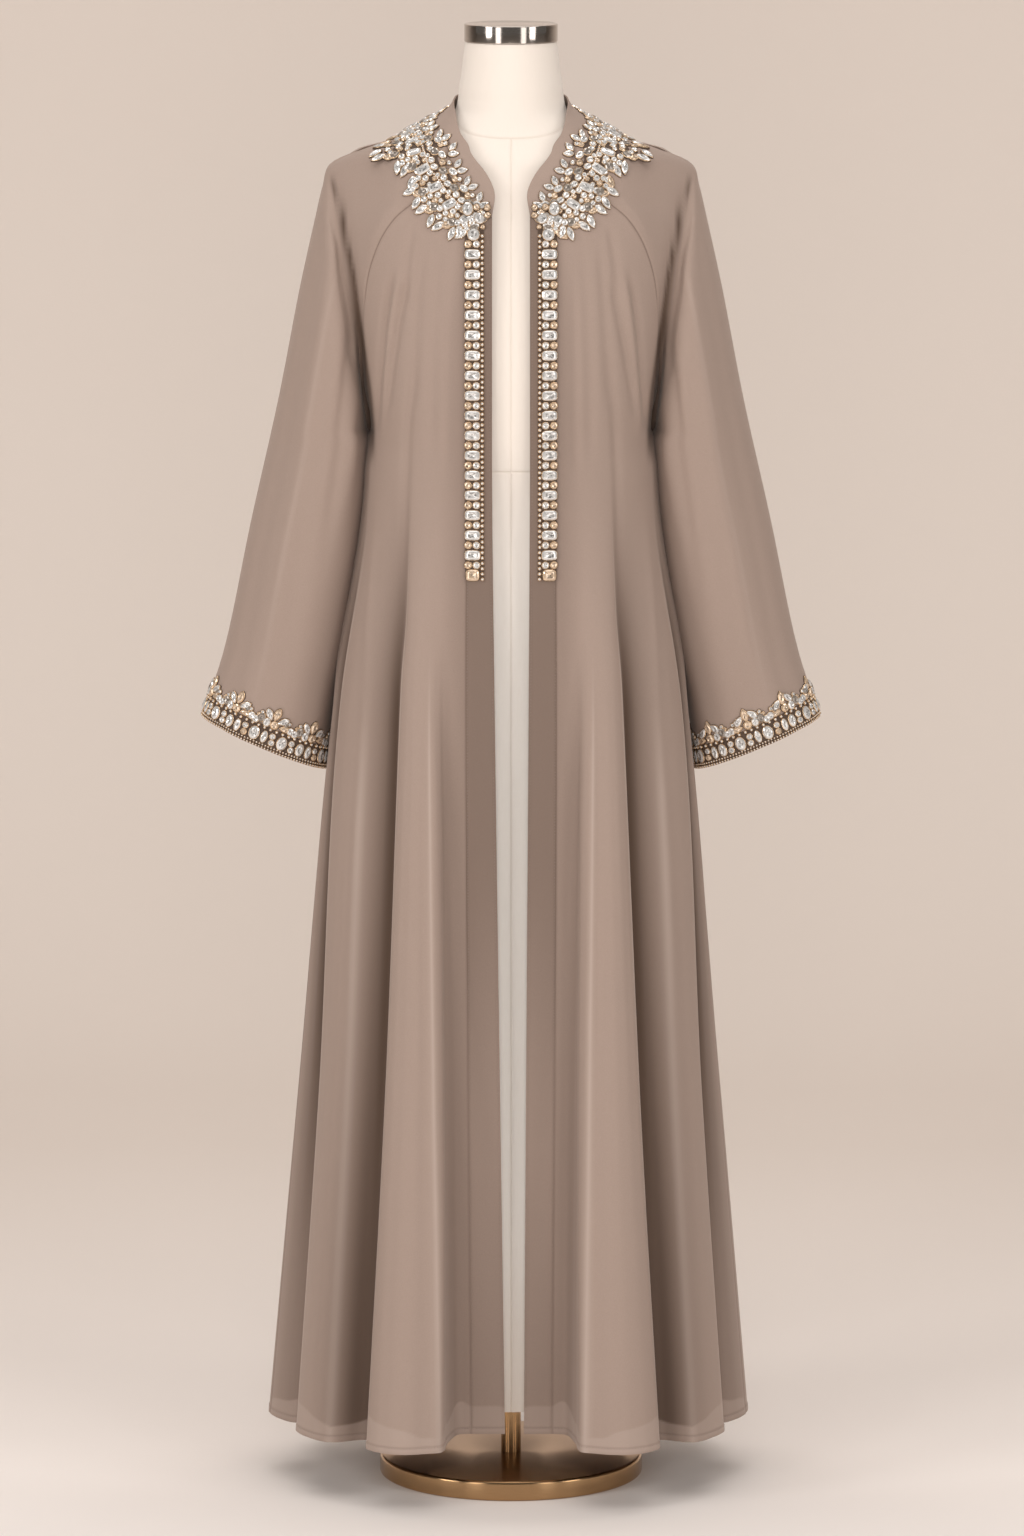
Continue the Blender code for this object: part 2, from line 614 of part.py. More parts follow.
def shoulder_end(angle):
    """(z, turn) at which the sleeve leaves the torso's surface."""
    ahead = angle <= math.pi
    bent = angle if ahead else 2 * math.pi - angle
    z = UNDERARM_Z + (SHOULDER_Z - UNDERARM_Z) * (1 + math.cos(bent)) / 2
    line = FRONT_SEAM if ahead else BACK_SEAM
    seam_z, seam_turn = seam_at_height(line, min(z, line[0, 0]))
    seam_x = ring_point(TORSO, seam_z, seam_turn)[0]
    reach = SHOULDER_REACH * math.exp(-((bent / SHOULDER_SPREAD) ** 2)) + RAGLAN_STRIP
    half = ring_sizes(TORSO, z)[0]
    return z, float(turn_at(z, min(seam_x + reach, half), not ahead))


def sleeve_grid(side, along_rows):
    """Outer points of a sleeve, as columns from its sewn edge, at -1, to the cuff."""
    angles, edge = sleeve_edge()
    flat = np.array([shoulder_end(angle) for angle in angles])
    table = np.array(SLEEVE)
    cosine = np.cos(angles)[:, None]
    sine = np.sin(angles)[:, None]
    rings = np.empty((len(angles), len(SLEEVE), 3))
    rings[..., 0] = (table[:, 0] * (1 + cosine) + table[:, 2] * (1 - cosine)) / 2
    rings[..., 2] = (table[:, 1] * (1 + cosine) + table[:, 3] * (1 - cosine)) / 2
    rings[..., 1] = table[:, 4] - sine * table[:, 5]
    bent = np.minimum(angles, 2 * np.pi - angles)
    lift = UNDERARM_LIFT * ease((bent - 2.0) / 1.1)
    away = np.stack([np.sin(flat[:, 1]), -np.cos(flat[:, 1]), 0 * bent], axis=1)
    away *= lift[:, None]
    halfway = ring_point(TORSO, *((edge + flat) / 2).T) + away / 2
    leaving = ring_point(TORSO, *flat.T) + away
    stations = np.concatenate([halfway[:, None], leaving[:, None], rings], axis=1)
    columns = []
    for i, keys in enumerate(stations):
        steps = np.sqrt(np.linalg.norm(np.diff(keys, axis=0), axis=1))
        knots = np.concatenate([[0.0], np.cumsum(steps)])
        lofted = smooth_through(knots, keys, np.interp(along_rows, np.arange(len(knots)) - 1, knots))
        share = along_rows + 1
        on_torso = share < 1
        blend = edge[i] + (flat[i] - edge[i]) * share[on_torso, None]
        lofted[on_torso] = ring_point(TORSO, *blend.T) + away[i] * share[on_torso, None]
        columns.append(lofted)
    grid = np.array(columns)
    grid[..., 0] *= side
    return grid


def build_sleeve(side_name, side):
    rows = np.concatenate([[-1.0, -0.66, -0.33, 0.0, 0.5], spaced(1, len(SLEEVE), 12)])
    grid = sleeve_grid(side, rows)
    normals = normals_of(grid, ring=True)
    cuff = normals[0, -3]
    if cuff[0] * side < 0:
        normals = -normals
    first = grid[:, 1] - grid[:, 0]
    length = np.linalg.norm(first, axis=1, keepdims=True)
    grid[:, 0] += first / length * 2 * SEAM_GAP + np.array([side, 0.0, 0.0]) * SEAM_GAP
    angles, edge = sleeve_edge()
    own = ease((np.minimum(angles, 2 * np.pi - angles) - 2.0) / 0.8)[:, None]
    shared = torso_normals(edge, side) * (1 - own) + normals[:, 0] * own
    normals[:, 0] = shared / np.linalg.norm(shared, axis=1, keepdims=True)
    wall(f"sleeve_{side_name}", grid, grid - normals * CLOTH, ring=True)
    build_cuff_trim(side_name, grid, normals)


# ---------------------------------------------------------------- stone-set trims
def trim_wall(name, points, normals, ring=False, lift=TRIM_LIFT):
    low = points + normals * lift
    wall(name, low + normals * TRIM_THICK, low, ring)


def build_front_trim(side_name, strip, normals):
    """Trim on the upper front band, from the band's own points moved out."""
    heights = spaced(TRIM_BAND_TOP_Z, TRIM_BAND_BOTTOM_Z, 14)
    shares = spaced(TRIM_BAND_FROM, TRIM_BAND_TO, 3)
    edge_lines = []
    for line, line_normals in ((strip[0], normals[0]), (strip[-1], normals[-1])):
        order = np.argsort(line[:, 2])
        both = np.concatenate([line, line_normals], axis=1)[order]
        edge_lines.append(smooth_through(both[:, 2], both, heights))
    start, end = edge_lines
    grid = start[None] + (end - start)[None] * shares[:, None, None]
    direction = grid[..., 3:] / np.linalg.norm(grid[..., 3:], axis=2, keepdims=True)
    trim_wall(f"jewel_band_{side_name}", grid[..., :3], direction)


def build_collar():
    shoulder = NECK_SHOULDER_ROW
    for side_name, side in SIDES.items():
        across = spaced(0, shoulder - 0.03, 13)
        places = strip_between(COLLAR_INNER, COLLAR_OUTER, across, 5)
        points = ring_point(TORSO, places[..., 0], places[..., 1])
        points[..., 0] *= side
        normals = facing(normals_of(points), points, np.array([0.0, 0.0, 1.3]))
        trim_wall(f"jewel_collar_{side_name}", points, normals, lift=COLLAR_LIFT)
    across = spaced(shoulder + 0.03, len(NECK) - 1, 8)
    points = both_sides(strip_between(COLLAR_INNER, COLLAR_OUTER, across, 5))
    normals = facing(normals_of(points), points, np.array([0.0, 0.0, 1.3]))
    trim_wall("jewel_collar_back", points, normals, lift=COLLAR_LIFT)


def more_columns(grid, times):
    """A ring's grid with straight columns added between its own."""
    after = np.roll(grid, -1, axis=0)
    parts = [grid + (after - grid) * step / times for step in range(times)]
    return np.stack(parts, axis=1).reshape(-1, *grid.shape[1:])


def build_cuff_trim(side_name, sleeve, normals):
    """Trim round the cuff, from the sleeve's points moved out, taller at each flower group."""
    sleeve, normals = more_columns(sleeve, 2), more_columns(normals, 2)
    around = len(sleeve)
    rows = 4
    points = np.empty((around, rows, 3))
    directions = np.empty((around, rows, 3))
    for i in range(around):
        lengths = np.linalg.norm(np.diff(sleeve[i][::-1], axis=0), axis=1)
        lengths = np.concatenate([[0.0], np.cumsum(lengths)])
        flower = 0.5 + 0.5 * math.cos(2 * math.pi * CUFF_FLOWERS * i / around)
        height = CUFF_TRIM_BAND + CUFF_TRIM_FLOWER * flower
        both = np.concatenate([sleeve[i], normals[i]], axis=1)[::-1]
        found = smooth_through(lengths, both, spaced(0.0005, height, rows))
        points[i] = found[:, :3]
        directions[i] = found[:, 3:] / np.linalg.norm(found[:, 3:], axis=1, keepdims=True)
    trim_wall(f"jewel_cuff_{side_name}", points, directions, ring=True)


# ---------------------------------------------------------------- form and stand
def turned(name, profile, segments=40):
    """Solid of revolution about the Z axis through a profile of (radius, z), bottom to top."""
    angles = spaced(0, 2 * np.pi, segments + 1)[:-1]
    points = [(0.0, 0.0, profile[0][1]), (0.0, 0.0, profile[-1][1])]
    for radius, z in profile:
        points += [(radius * math.cos(a), radius * math.sin(a), z) for a in angles]
    faces = []
    for i in range(segments):
        after = (i + 1) % segments
        faces.append((0, 2 + after, 2 + i))
        top = 2 + (len(profile) - 1) * segments
        faces.append((1, top + i, top + after))
        for level in range(len(profile) - 1):
            low = 2 + level * segments
            high = low + segments
            faces.append((low + i, low + after, high + after, high + i))
    return mesh_object(name, np.array(points), [t for f in faces for t in split(f)])


def split(face):
    return [face] if len(face) == 3 else [face[:3], (face[0], face[2], face[3])]


def rounded(radius, low, high, bevel, steps=2):
    """Profile of a disc with rounded edges."""
    profile = []
    for step in range(steps + 1):
        angle = math.pi / 2 * step / steps
        profile.append((radius - bevel + bevel * math.sin(angle), low + bevel - bevel * math.cos(angle)))
    for step in range(steps + 1):
        angle = math.pi / 2 * step / steps
        profile.append((radius - bevel + bevel * math.cos(angle), high - bevel + bevel * math.sin(angle)))
    return profile


def build_form():
    segments = 32
    rows = [row[0] for row in FORM]
    heights = [rows[0]]
    for high, low in zip(rows[:-1], rows[1:]):
        heights.append(low if high - low < 0.09 else (high + low) / 2)
        if heights[-1] != low:
            heights.append(low)
    turns = spaced(0, 2 * np.pi, segments + 1)[:-1]
    rings = [ring_point(FORM, np.full(segments, z), turns) for z in heights]
    points = [(0.0, 0.0, heights[0]), (0.0, 0.0, heights[-1])]
    points += [tuple(point) for ring in rings for point in ring]
    faces = []
    bottom = 2 + (len(heights) - 1) * segments
    for i in range(segments):
        after = (i + 1) % segments
        faces.append((0, 2 + i, 2 + after))
        faces.append((1, bottom + after, bottom + i))
        for level in range(len(heights) - 1):
            high = 2 + level * segments
            low = high + segments
            faces += split((high + i, low + i, low + after, high + after))
    mesh_object("form_body", np.array(points), faces)


def build_stand():
    turned("neck_cap", rounded(CAP_RADIUS, NECK_TOP_Z + FIT_GAP, TOTAL_HEIGHT, 0.0012))
    turned("base_disc", rounded(BASE_RADIUS, 0.0, BASE_HEIGHT, 0.004, 3), 48)
    flange_bottom = FORM_BOTTOM_Z - FIT_GAP - FLANGE_THICK
    flange = rounded(FLANGE_RADIUS, flange_bottom, flange_bottom + FLANGE_THICK, 0.001)
    turned("pole_flange", flange, 24)
    pole = ((POLE_RADIUS, BASE_HEIGHT + FIT_GAP), (POLE_RADIUS, flange_bottom - FIT_GAP))
    turned("pole", pole, 24)


# ---------------------------------------------------------------- materials
LOOKS = {
    "chiffon": ((0.36, 0.26, 0.21), 0.75, 0.0),
    "stones": ((0.78, 0.72, 0.64), 0.18, 0.6),
    "linen": ((0.90, 0.86, 0.80), 0.85, 0.0),
    "chrome": ((0.62, 0.60, 0.58), 0.10, 1.0),
    "bronze": ((0.56, 0.40, 0.25), 0.28, 1.0),
}
LOOK_OF = {
    "jewel": "stones",
    "form": "linen",
    "neck_cap": "chrome",
    "pole": "bronze",
    "base": "bronze",
}


def give_materials():
    for thing in bpy.context.scene.collection.objects:
        look = "chiffon"
        for start, name in LOOK_OF.items():
            if thing.name.startswith(start):
                look = name
        color, roughness, metallic = LOOKS[look]
        material = bpy.data.materials.new(thing.name)
        material.use_nodes = True
        shader = material.node_tree.nodes["Principled BSDF"]
        shader.inputs["Base Color"].default_value = (*color, 1.0)
        shader.inputs["Roughness"].default_value = roughness
        shader.inputs["Metallic"].default_value = metallic
        thing.data.materials.append(material)


def main():
    for thing in list(bpy.data.objects):
        bpy.data.objects.remove(thing, do_unlink=True)
    build_form()
    build_stand()
    build_body()
    build_neckband()
    for side_name, side in SIDES.items():
        build_sleeve(side_name, side)
    build_collar()
    give_materials()


main()
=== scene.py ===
"""Looks of the open-front abaya on its dress form: cloth, stone-set trims, form, stand and studio."""
import math

import bpy
import numpy as np
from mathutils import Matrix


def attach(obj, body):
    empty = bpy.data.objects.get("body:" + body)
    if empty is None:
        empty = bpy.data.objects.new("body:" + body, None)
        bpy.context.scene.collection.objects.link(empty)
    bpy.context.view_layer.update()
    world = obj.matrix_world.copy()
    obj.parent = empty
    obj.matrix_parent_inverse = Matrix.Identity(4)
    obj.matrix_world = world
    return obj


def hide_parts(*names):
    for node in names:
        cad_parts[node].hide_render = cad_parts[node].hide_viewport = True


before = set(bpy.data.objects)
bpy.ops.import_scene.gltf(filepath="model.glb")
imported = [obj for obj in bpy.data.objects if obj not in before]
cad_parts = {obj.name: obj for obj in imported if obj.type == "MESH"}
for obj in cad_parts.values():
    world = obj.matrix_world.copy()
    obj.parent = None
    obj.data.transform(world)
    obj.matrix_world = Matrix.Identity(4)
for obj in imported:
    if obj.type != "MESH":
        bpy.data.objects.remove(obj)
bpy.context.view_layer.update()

# ---- sizes shared with the CAD
SHELL = 0.0009              # thickness of the cloth as it shows
HEM_Z = 0.067
CHEST_Z = 1.120
TANGENT_Z = 1.200
UNDERARM_Z = 1.157
ROWS_CROWD_UP = 1.6
HEM_ZONE = 0.054            # height above the hem where the cloth's rows lie close together
HEM_ROWS = 36
BASE_RADIUS = 0.145
BASE_HEIGHT = 0.022
POLE_RADIUS = 0.011
FLANGE_RADIUS = 0.023
FLANGE_THICK = 0.004
FORM_BOTTOM_Z = 0.087
NECK_TOP_Z = 1.5805
CAP_RADIUS = 0.0506
TOTAL_HEIGHT = 1.600
SIDES = {"left": -1.0, "right": 1.0}

# Torso rings of the garment's outer face: z, half width, front depth, back depth.
TORSO = (
    (1.530, 0.0605, 0.0575, 0.0620),
    (1.519, 0.0620, 0.0590, 0.0645),
    (1.505, 0.0735, 0.0625, 0.0690),
    (1.497, 0.0890, 0.0650, 0.0725),
    (1.4875, 0.1070, 0.0690, 0.0765),
    (1.4735, 0.1330, 0.0745, 0.0815),
    (1.4665, 0.1600, 0.0775, 0.0845),
    (1.459, 0.1820, 0.0810, 0.0870),
    (1.450, 0.1930, 0.0850, 0.0900),
    (1.436, 0.1985, 0.0905, 0.0935),
    (1.410, 0.1965, 0.0990, 0.0990),
    (1.380, 0.1900, 0.1070, 0.1040),
    (1.330, 0.1810, 0.1150, 0.1090),
    (1.270, 0.1710, 0.1195, 0.1105),
    (1.200, 0.1590, 0.1210, 0.1085),
    (1.157, 0.1520, 0.1205, 0.1070),
    (1.120, 0.1565, 0.1200, 0.1070),
)

# Rings of the dress form: z, half width, front depth, back depth.
FORM = (
    (1.5805, 0.0495, 0.0495, 0.0495),
    (1.565, 0.0515, 0.0500, 0.0505),
    (1.549, 0.0532, 0.0505, 0.0515),
    (1.531, 0.0562, 0.0515, 0.0545),
    (1.5175, 0.0576, 0.0520, 0.0575),
    (1.505, 0.0620, 0.0535, 0.0620),
    (1.490, 0.0810, 0.0565, 0.0680),
    (1.478, 0.1030, 0.0610, 0.0725),
    (1.4660, 0.1310, 0.0665, 0.0765),
    (1.457, 0.1580, 0.0710, 0.0795),
    (1.447, 0.1730, 0.0740, 0.0815),
    (1.434, 0.1800, 0.0785, 0.0845),
    (1.410, 0.1820, 0.0860, 0.0895),
    (1.380, 0.1760, 0.0950, 0.0950),
    (1.330, 0.1650, 0.1055, 0.1005),
    (1.270, 0.1580, 0.1115, 0.1030),
    (1.200, 0.1460, 0.1125, 0.1005),
    (1.157, 0.1390, 0.1105, 0.0975),
    (1.100, 0.1320, 0.1030, 0.0930),
    (1.000, 0.1280, 0.0985, 0.0910),
    (0.800, 0.1270, 0.0965, 0.0930),
    (0.500, 0.1180, 0.0935, 0.0925),
    (0.250, 0.1100, 0.0915, 0.0910),
    (0.087, 0.1040, 0.0900, 0.0900),
)

# Neck seam and free edge of the neckband: seam z, seam x, edge z, edge x.
NECK = (
    (1.4000, 0.0490, 1.4000, 0.0203),
    (1.4190, 0.0505, 1.4300, 0.0186),
    (1.4410, 0.0560, 1.4590, 0.0375),
    (1.4670, 0.0665, 1.4820, 0.0510),
    (1.4890, 0.0775, 1.5010, 0.0590),
    (1.5015, None, 1.5190, None),
    (1.5050, 0.0560, 1.5235, 0.0450),
    (1.5065, 0.0280, 1.5245, 0.0225),
    (1.5070, 0.0000, 1.5250, 0.0000),
)
NECK_SHOULDER_ROW = 5
FRONT_RAGLAN_AT = 2.6
BACK_RAGLAN_AT = 6.0

FRONT_RAGLAN = (
    (1.4450, 0.0790),
    (1.4170, 0.1020),
    (1.3980, 0.1240),
    (1.3770, 0.1385),
    (1.3560, 0.1475),
    (1.3330, 0.1540),
    (1.3070, 0.1575),
    (1.2830, 0.1590),
    (1.2590, 0.1580),
    (1.2350, 0.1570),
    (1.1850, 0.1535),
)
BACK_RAGLAN = (
    (1.4900, 0.0780),
    (1.4600, 0.1010),
    (1.4200, 0.1230),
    (1.3800, 0.1390),
    (1.3400, 0.1490),
    (1.3000, 0.1550),
    (1.2600, 0.1570),
    (1.2200, 0.1560),
    (1.1850, 0.1535),
)

# Folds of the skirt: chest x, then x and y at hip, knee and hem, and the right side's extra x.
HIP_Z = 0.87
KNEE_Z = 0.44
FOLDS = (
    (0.0204, 0.0175, -0.1280, 0.0117, -0.1220, 0.0066, -0.1080, 0.0075),
    (0.0488, 0.0490, -0.1290, 0.0467, -0.1230, 0.0438, -0.1085, 0.0015),
    (0.0630, 0.0660, -0.1300, 0.0605, -0.1280, 0.0585, -0.1130, 0.0015),
    (0.0760, 0.0775, -0.1335, 0.0722, -0.1450, 0.0690, -0.1480, 0.0017),
    (0.0850, 0.0880, -0.1380, 0.0850, -0.1660, 0.0820, -0.1930, 0.0020),
    (0.0945, 0.1020, -0.1370, 0.1080, -0.1710, 0.1147, -0.2060, 0.0030),
    (0.1030, 0.1130, -0.1310, 0.1280, -0.1620, 0.1450, -0.1940, 0.0040),
    (0.1084, 0.1195, -0.1220, 0.1372, -0.1470, 0.1573, -0.1710, 0.0047),
    (0.1120, 0.1210, -0.1120, 0.1330, -0.1280, 0.1460, -0.1430, 0.0045),
    (0.1210, 0.1330, -0.1050, 0.1470, -0.1220, 0.1600, -0.1360, 0.0035),
    (0.1340, 0.1560, -0.0930, 0.1770, -0.1180, 0.1972, -0.1480, 0.0010),
    (0.1435, 0.1740, -0.0740, 0.1985, -0.0970, 0.2220, -0.1230, -0.0010),
    (0.1500, 0.1850, -0.0500, 0.2099, -0.0690, 0.2358, -0.0880, -0.0018),
    (0.1530, 0.1835, -0.0370, 0.2050, -0.0520, 0.2270, -0.0640, -0.0030),
    (0.1555, 0.1890, -0.0220, 0.2190, -0.0380, 0.2450, -0.0500, -0.0050),
    (0.1565, 0.1925, -0.0110, 0.2327, -0.0060, 0.2667, -0.0080, -0.0065),
    (0.1553, 0.1860, 0.0180, 0.2290, 0.0280, 0.2620, 0.0360, -0.0040),
    (0.1510, 0.1760, 0.0420, 0.2090, 0.0560, 0.2300, 0.0680, 0.0020),
    (0.1470, 0.1725, 0.0610, 0.2050, 0.0800, 0.2330, 0.0950, 0.0040),
    (0.1380, 0.1560, 0.0850, 0.1850, 0.1170, 0.2120, 0.1430, 0.0010),
    (0.1270, 0.1370, 0.0970, 0.1570, 0.1270, 0.1780, 0.1570, -0.0040),
    (0.1170, 0.1200, 0.1010, 0.1310, 0.1170, 0.1420, 0.1290, -0.0060),
    (0.1070, 0.1090, 0.1100, 0.1250, 0.1410, 0.1380, 0.1640, -0.0060),
    (0.0900, 0.0890, 0.1230, 0.1030, 0.1670, 0.1120, 0.2020, -0.0050),
    (0.0700, 0.0670, 0.1270, 0.0730, 0.1640, 0.0760, 0.1960, -0.0060),
    (0.0500, 0.0470, 0.1220, 0.0470, 0.1370, 0.0460, 0.1420, -0.0060),
    (0.0300, 0.0300, 0.1270, 0.0310, 0.1540, 0.0320, 0.1720, -0.0040),
    (0.0000, 0.0000, 0.1340, 0.0000, 0.1710, 0.0000, 0.2050, 0.0),
)
BAND_ROW = 1
NECK_CORNER_ROW = 5
SIDE_ROW = 15
BACK_CORNER_ROW = 22
CENTRE_ROW = len(FOLDS) - 1

# Sleeve rings after the shoulder: outer x, z, inner x, z, middle y, half depth.
SLEEVE = (
    (0.1960, 1.4480, 0.1550, 1.1515, 0.004, 0.0500),
    (0.2040, 1.4240, 0.1580, 1.1400, 0.006, 0.0620),
    (0.2125, 1.3880, 0.1608, 1.1180, 0.008, 0.0690),
    (0.2286, 1.3160, 0.1632, 1.0750, 0.011, 0.0720),
    (0.2530, 1.1920, 0.1730, 1.0000, 0.015, 0.0710),
    (0.2830, 1.0600, 0.1860, 0.9150, 0.018, 0.0670),
    (0.3140, 0.9150, 0.1950, 0.8400, 0.020, 0.0620),
    (0.3380, 0.8430, 0.2005, 0.7850, 0.020, 0.0600),
)
NECK_STEPS_AHEAD = 3
NECK_STEPS_BEHIND = 2
NECK_ANGLE = math.radians(24)
SHOULDER_Z = 1.4735
SHOULDER_REACH = 0.080
SHOULDER_SPREAD = math.radians(38)
RAGLAN_STRIP = 0.005
UNDERARM_LIFT = 0.0016

# Stone-set collar: inner z, x and outer z, x on the torso, aligned with the rows of NECK.
COLLAR = (
    (1.4030, 0.0265, 1.3830, 0.0400),
    (1.4200, 0.0310, 1.3840, 0.0640),
    (1.4400, 0.0460, 1.4000, 0.0880),
    (1.4620, 0.0585, 1.4250, 0.1070),
    (1.4830, 0.0705, 1.4500, 0.1180),
    (1.5035, None, 1.4770, None),
    (1.5080, 0.0600, 1.4700, 0.0900),
    (1.5095, 0.0300, 1.4700, 0.0450),
    (1.5100, 0.0000, 1.4700, 0.0000),
)


# ---- interpolation
def smooth_through(knots, values, at):
    """Cubic curve through the values, which are rows, with slopes from their neighbours."""
    knots = np.asarray(knots, float)
    values = np.asarray(values, float)
    at = np.clip(np.asarray(at, float), knots[0], knots[-1])
    steps = np.diff(knots)
    shape = (-1,) + (1,) * (values.ndim - 1)
    rates = np.diff(values, axis=0) / steps.reshape(shape)
    slopes = np.empty_like(values)
    slopes[0] = rates[0]
    slopes[-1] = rates[-1]
    before = steps[:-1].reshape(shape)
    after = steps[1:].reshape(shape)
    slopes[1:-1] = (rates[:-1] * after + rates[1:] * before) / (before + after)
    cell = np.clip(np.searchsorted(knots, at, side="right") - 1, 0, len(steps) - 1)
    width = steps[cell]
    t = (at - knots[cell]) / width
    shape = t.shape + (1,) * (values.ndim - 1)
    t = t.reshape(shape)
    width = width.reshape(shape)
    start = (1 + 2 * t) * (1 - t) ** 2 * values[cell] + t * (1 - t) ** 2 * width * slopes[cell]
    end = t * t * (3 - 2 * t) * values[cell + 1] + t * t * (t - 1) * width * slopes[cell + 1]
    return start + end


def ease(t):
    t = np.clip(t, 0.0, 1.0)
    return t * t * (3 - 2 * t)


def unit(v):
    return v / np.maximum(np.linalg.norm(v, axis=-1, keepdims=True), 1e-12)


def signed_power(value, power):
    return np.sign(value) * np.abs(value) ** power


def running(steps):
    """Sums of the steps so far, from zero."""
    return np.concatenate([[0.0], np.cumsum(steps)])


def run_of(points):
    """Length so far along a line of points."""
    return running(np.linalg.norm(np.diff(points, axis=0), axis=1))


# ---- rings
def ring_sizes(table, z):
    rows = np.array(table)[::-1]
    sizes = smooth_through(rows[:, 0], rows[:, 1:], z)
    return sizes[..., 0], sizes[..., 1], sizes[..., 2]


def squareness(z):
    return 1.0 - 0.12 * ease((1.51 - np.asarray(z)) / 0.06)


def ring_point(table, z, turn):
    """Point of a ring at a turn: 0 at the front, a quarter turn at +X, half a turn at the back."""
    z = np.asarray(z, float)
    turn = np.asarray(turn, float)
    half, front, back = ring_sizes(table, z)
    power = squareness(z)
    sine = np.sin(turn)
    cosine = np.cos(turn)
    x = half * signed_power(sine, power)
    y = -np.where(cosine > 0, front, back) * signed_power(cosine, power)
    return np.stack(np.broadcast_arrays(x, y, z), axis=-1)


def turn_at(z, x, behind=False):
    half = ring_sizes(TORSO, z)[0]
    share = np.clip(x / half, 0.0, 1.0) ** (1 / squareness(z))
    turn = np.arcsin(share)
    return np.pi - turn if behind else turn


def torso_normals(places, side):
    z, turn = np.moveaxis(np.asarray(places, float), -1, 0)
    step = 0.002
    across = ring_point(TORSO, z, turn + step) - ring_point(TORSO, z, turn - step)
    up = ring_point(TORSO, z + step, turn) - ring_point(TORSO, z - step, turn)
    normals = np.cross(across, up)
    normals[..., 0] *= side
    return unit(normals)


# ---- seams on the torso
def placed(rows, z_column, x_column):
    found = []
    for index, row in enumerate(rows):
        z = row[z_column]
        if row[x_column] is None:
            turn = np.pi / 2
        else:
            turn = turn_at(z, row[x_column], index > NECK_SHOULDER_ROW)
        found.append((z, float(turn)))
    return np.array(found)


NECK_SEAM = placed(NECK, 0, 1)
NECK_EDGE = placed(NECK, 2, 3)
COLLAR_INNER = placed(COLLAR, 0, 1)
COLLAR_OUTER = placed(COLLAR, 2, 3)
NECK_KNOTS = np.arange(len(NECK))


def neck_seam(at):
    return smooth_through(NECK_KNOTS, NECK_SEAM, at)


def raglan_line(start, rows, behind):
    points = [tuple(neck_seam(start))]
    points += [(z, float(turn_at(z, x, behind))) for z, x in rows]
    points.append((UNDERARM_Z, np.pi / 2))
    return np.array(points)


FRONT_SEAM = raglan_line(FRONT_RAGLAN_AT, FRONT_RAGLAN, False)
BACK_SEAM = raglan_line(BACK_RAGLAN_AT, BACK_RAGLAN, True)


def along(line, share):
    """Place (z, turn) at a share of the length of a line on the torso."""
    lengths = run_of(ring_point(TORSO, *line.T))
    return smooth_through(lengths, line, share * lengths[-1])


def seam_at_height(line, z):
    return smooth_through(line[::-1, 0], line[::-1], z)


# ---- body surface
def fold_knots():
    rows = np.array([row[1:7] for row in FOLDS])
    knee = np.linalg.norm(np.diff(rows[:, 2:4], axis=0), axis=1)
    hem = np.linalg.norm(np.diff(rows[:, 4:6], axis=0), axis=1)
    return running(np.sqrt((knee + hem) / 2))


FOLD_KNOTS = fold_knots()


def knot_at(row):
    return float(np.interp(row, np.arange(len(FOLDS)), FOLD_KNOTS))


def top_of_column(row):
    if row <= BAND_ROW:
        start = NECK_EDGE[0]
        end = NECK_SEAM[0]
        return start + (end - start) * row / BAND_ROW
    if row <= NECK_CORNER_ROW:
        share = (row - BAND_ROW) / (NECK_CORNER_ROW - BAND_ROW)
        return neck_seam(share * FRONT_RAGLAN_AT)
    if row <= SIDE_ROW:
        return along(FRONT_SEAM, (row - NECK_CORNER_ROW) / (SIDE_ROW - NECK_CORNER_ROW))
    if row <= BACK_CORNER_ROW:
        return along(BACK_SEAM, 1 - (row - SIDE_ROW) / (BACK_CORNER_ROW - SIDE_ROW))
    share = (row - BACK_CORNER_ROW) / (CENTRE_ROW - BACK_CORNER_ROW)
    return neck_seam(BACK_RAGLAN_AT + share * (len(NECK) - 1 - BACK_RAGLAN_AT))


def fold_rings(side):
    rings = []
    for column, share in ((1, 0.2), (3, 0.6), (5, 1.0)):
        ring = np.array([row[column:column + 2] for row in FOLDS])
        if side > 0:
            ring[:, 0] += share * np.array([row[7] for row in FOLDS])
        rings.append(ring)
    return rings


CHEST_TURNS = np.array([float(turn_at(CHEST_Z, r[0], i > SIDE_ROW)) for i, r in enumerate(FOLDS)])


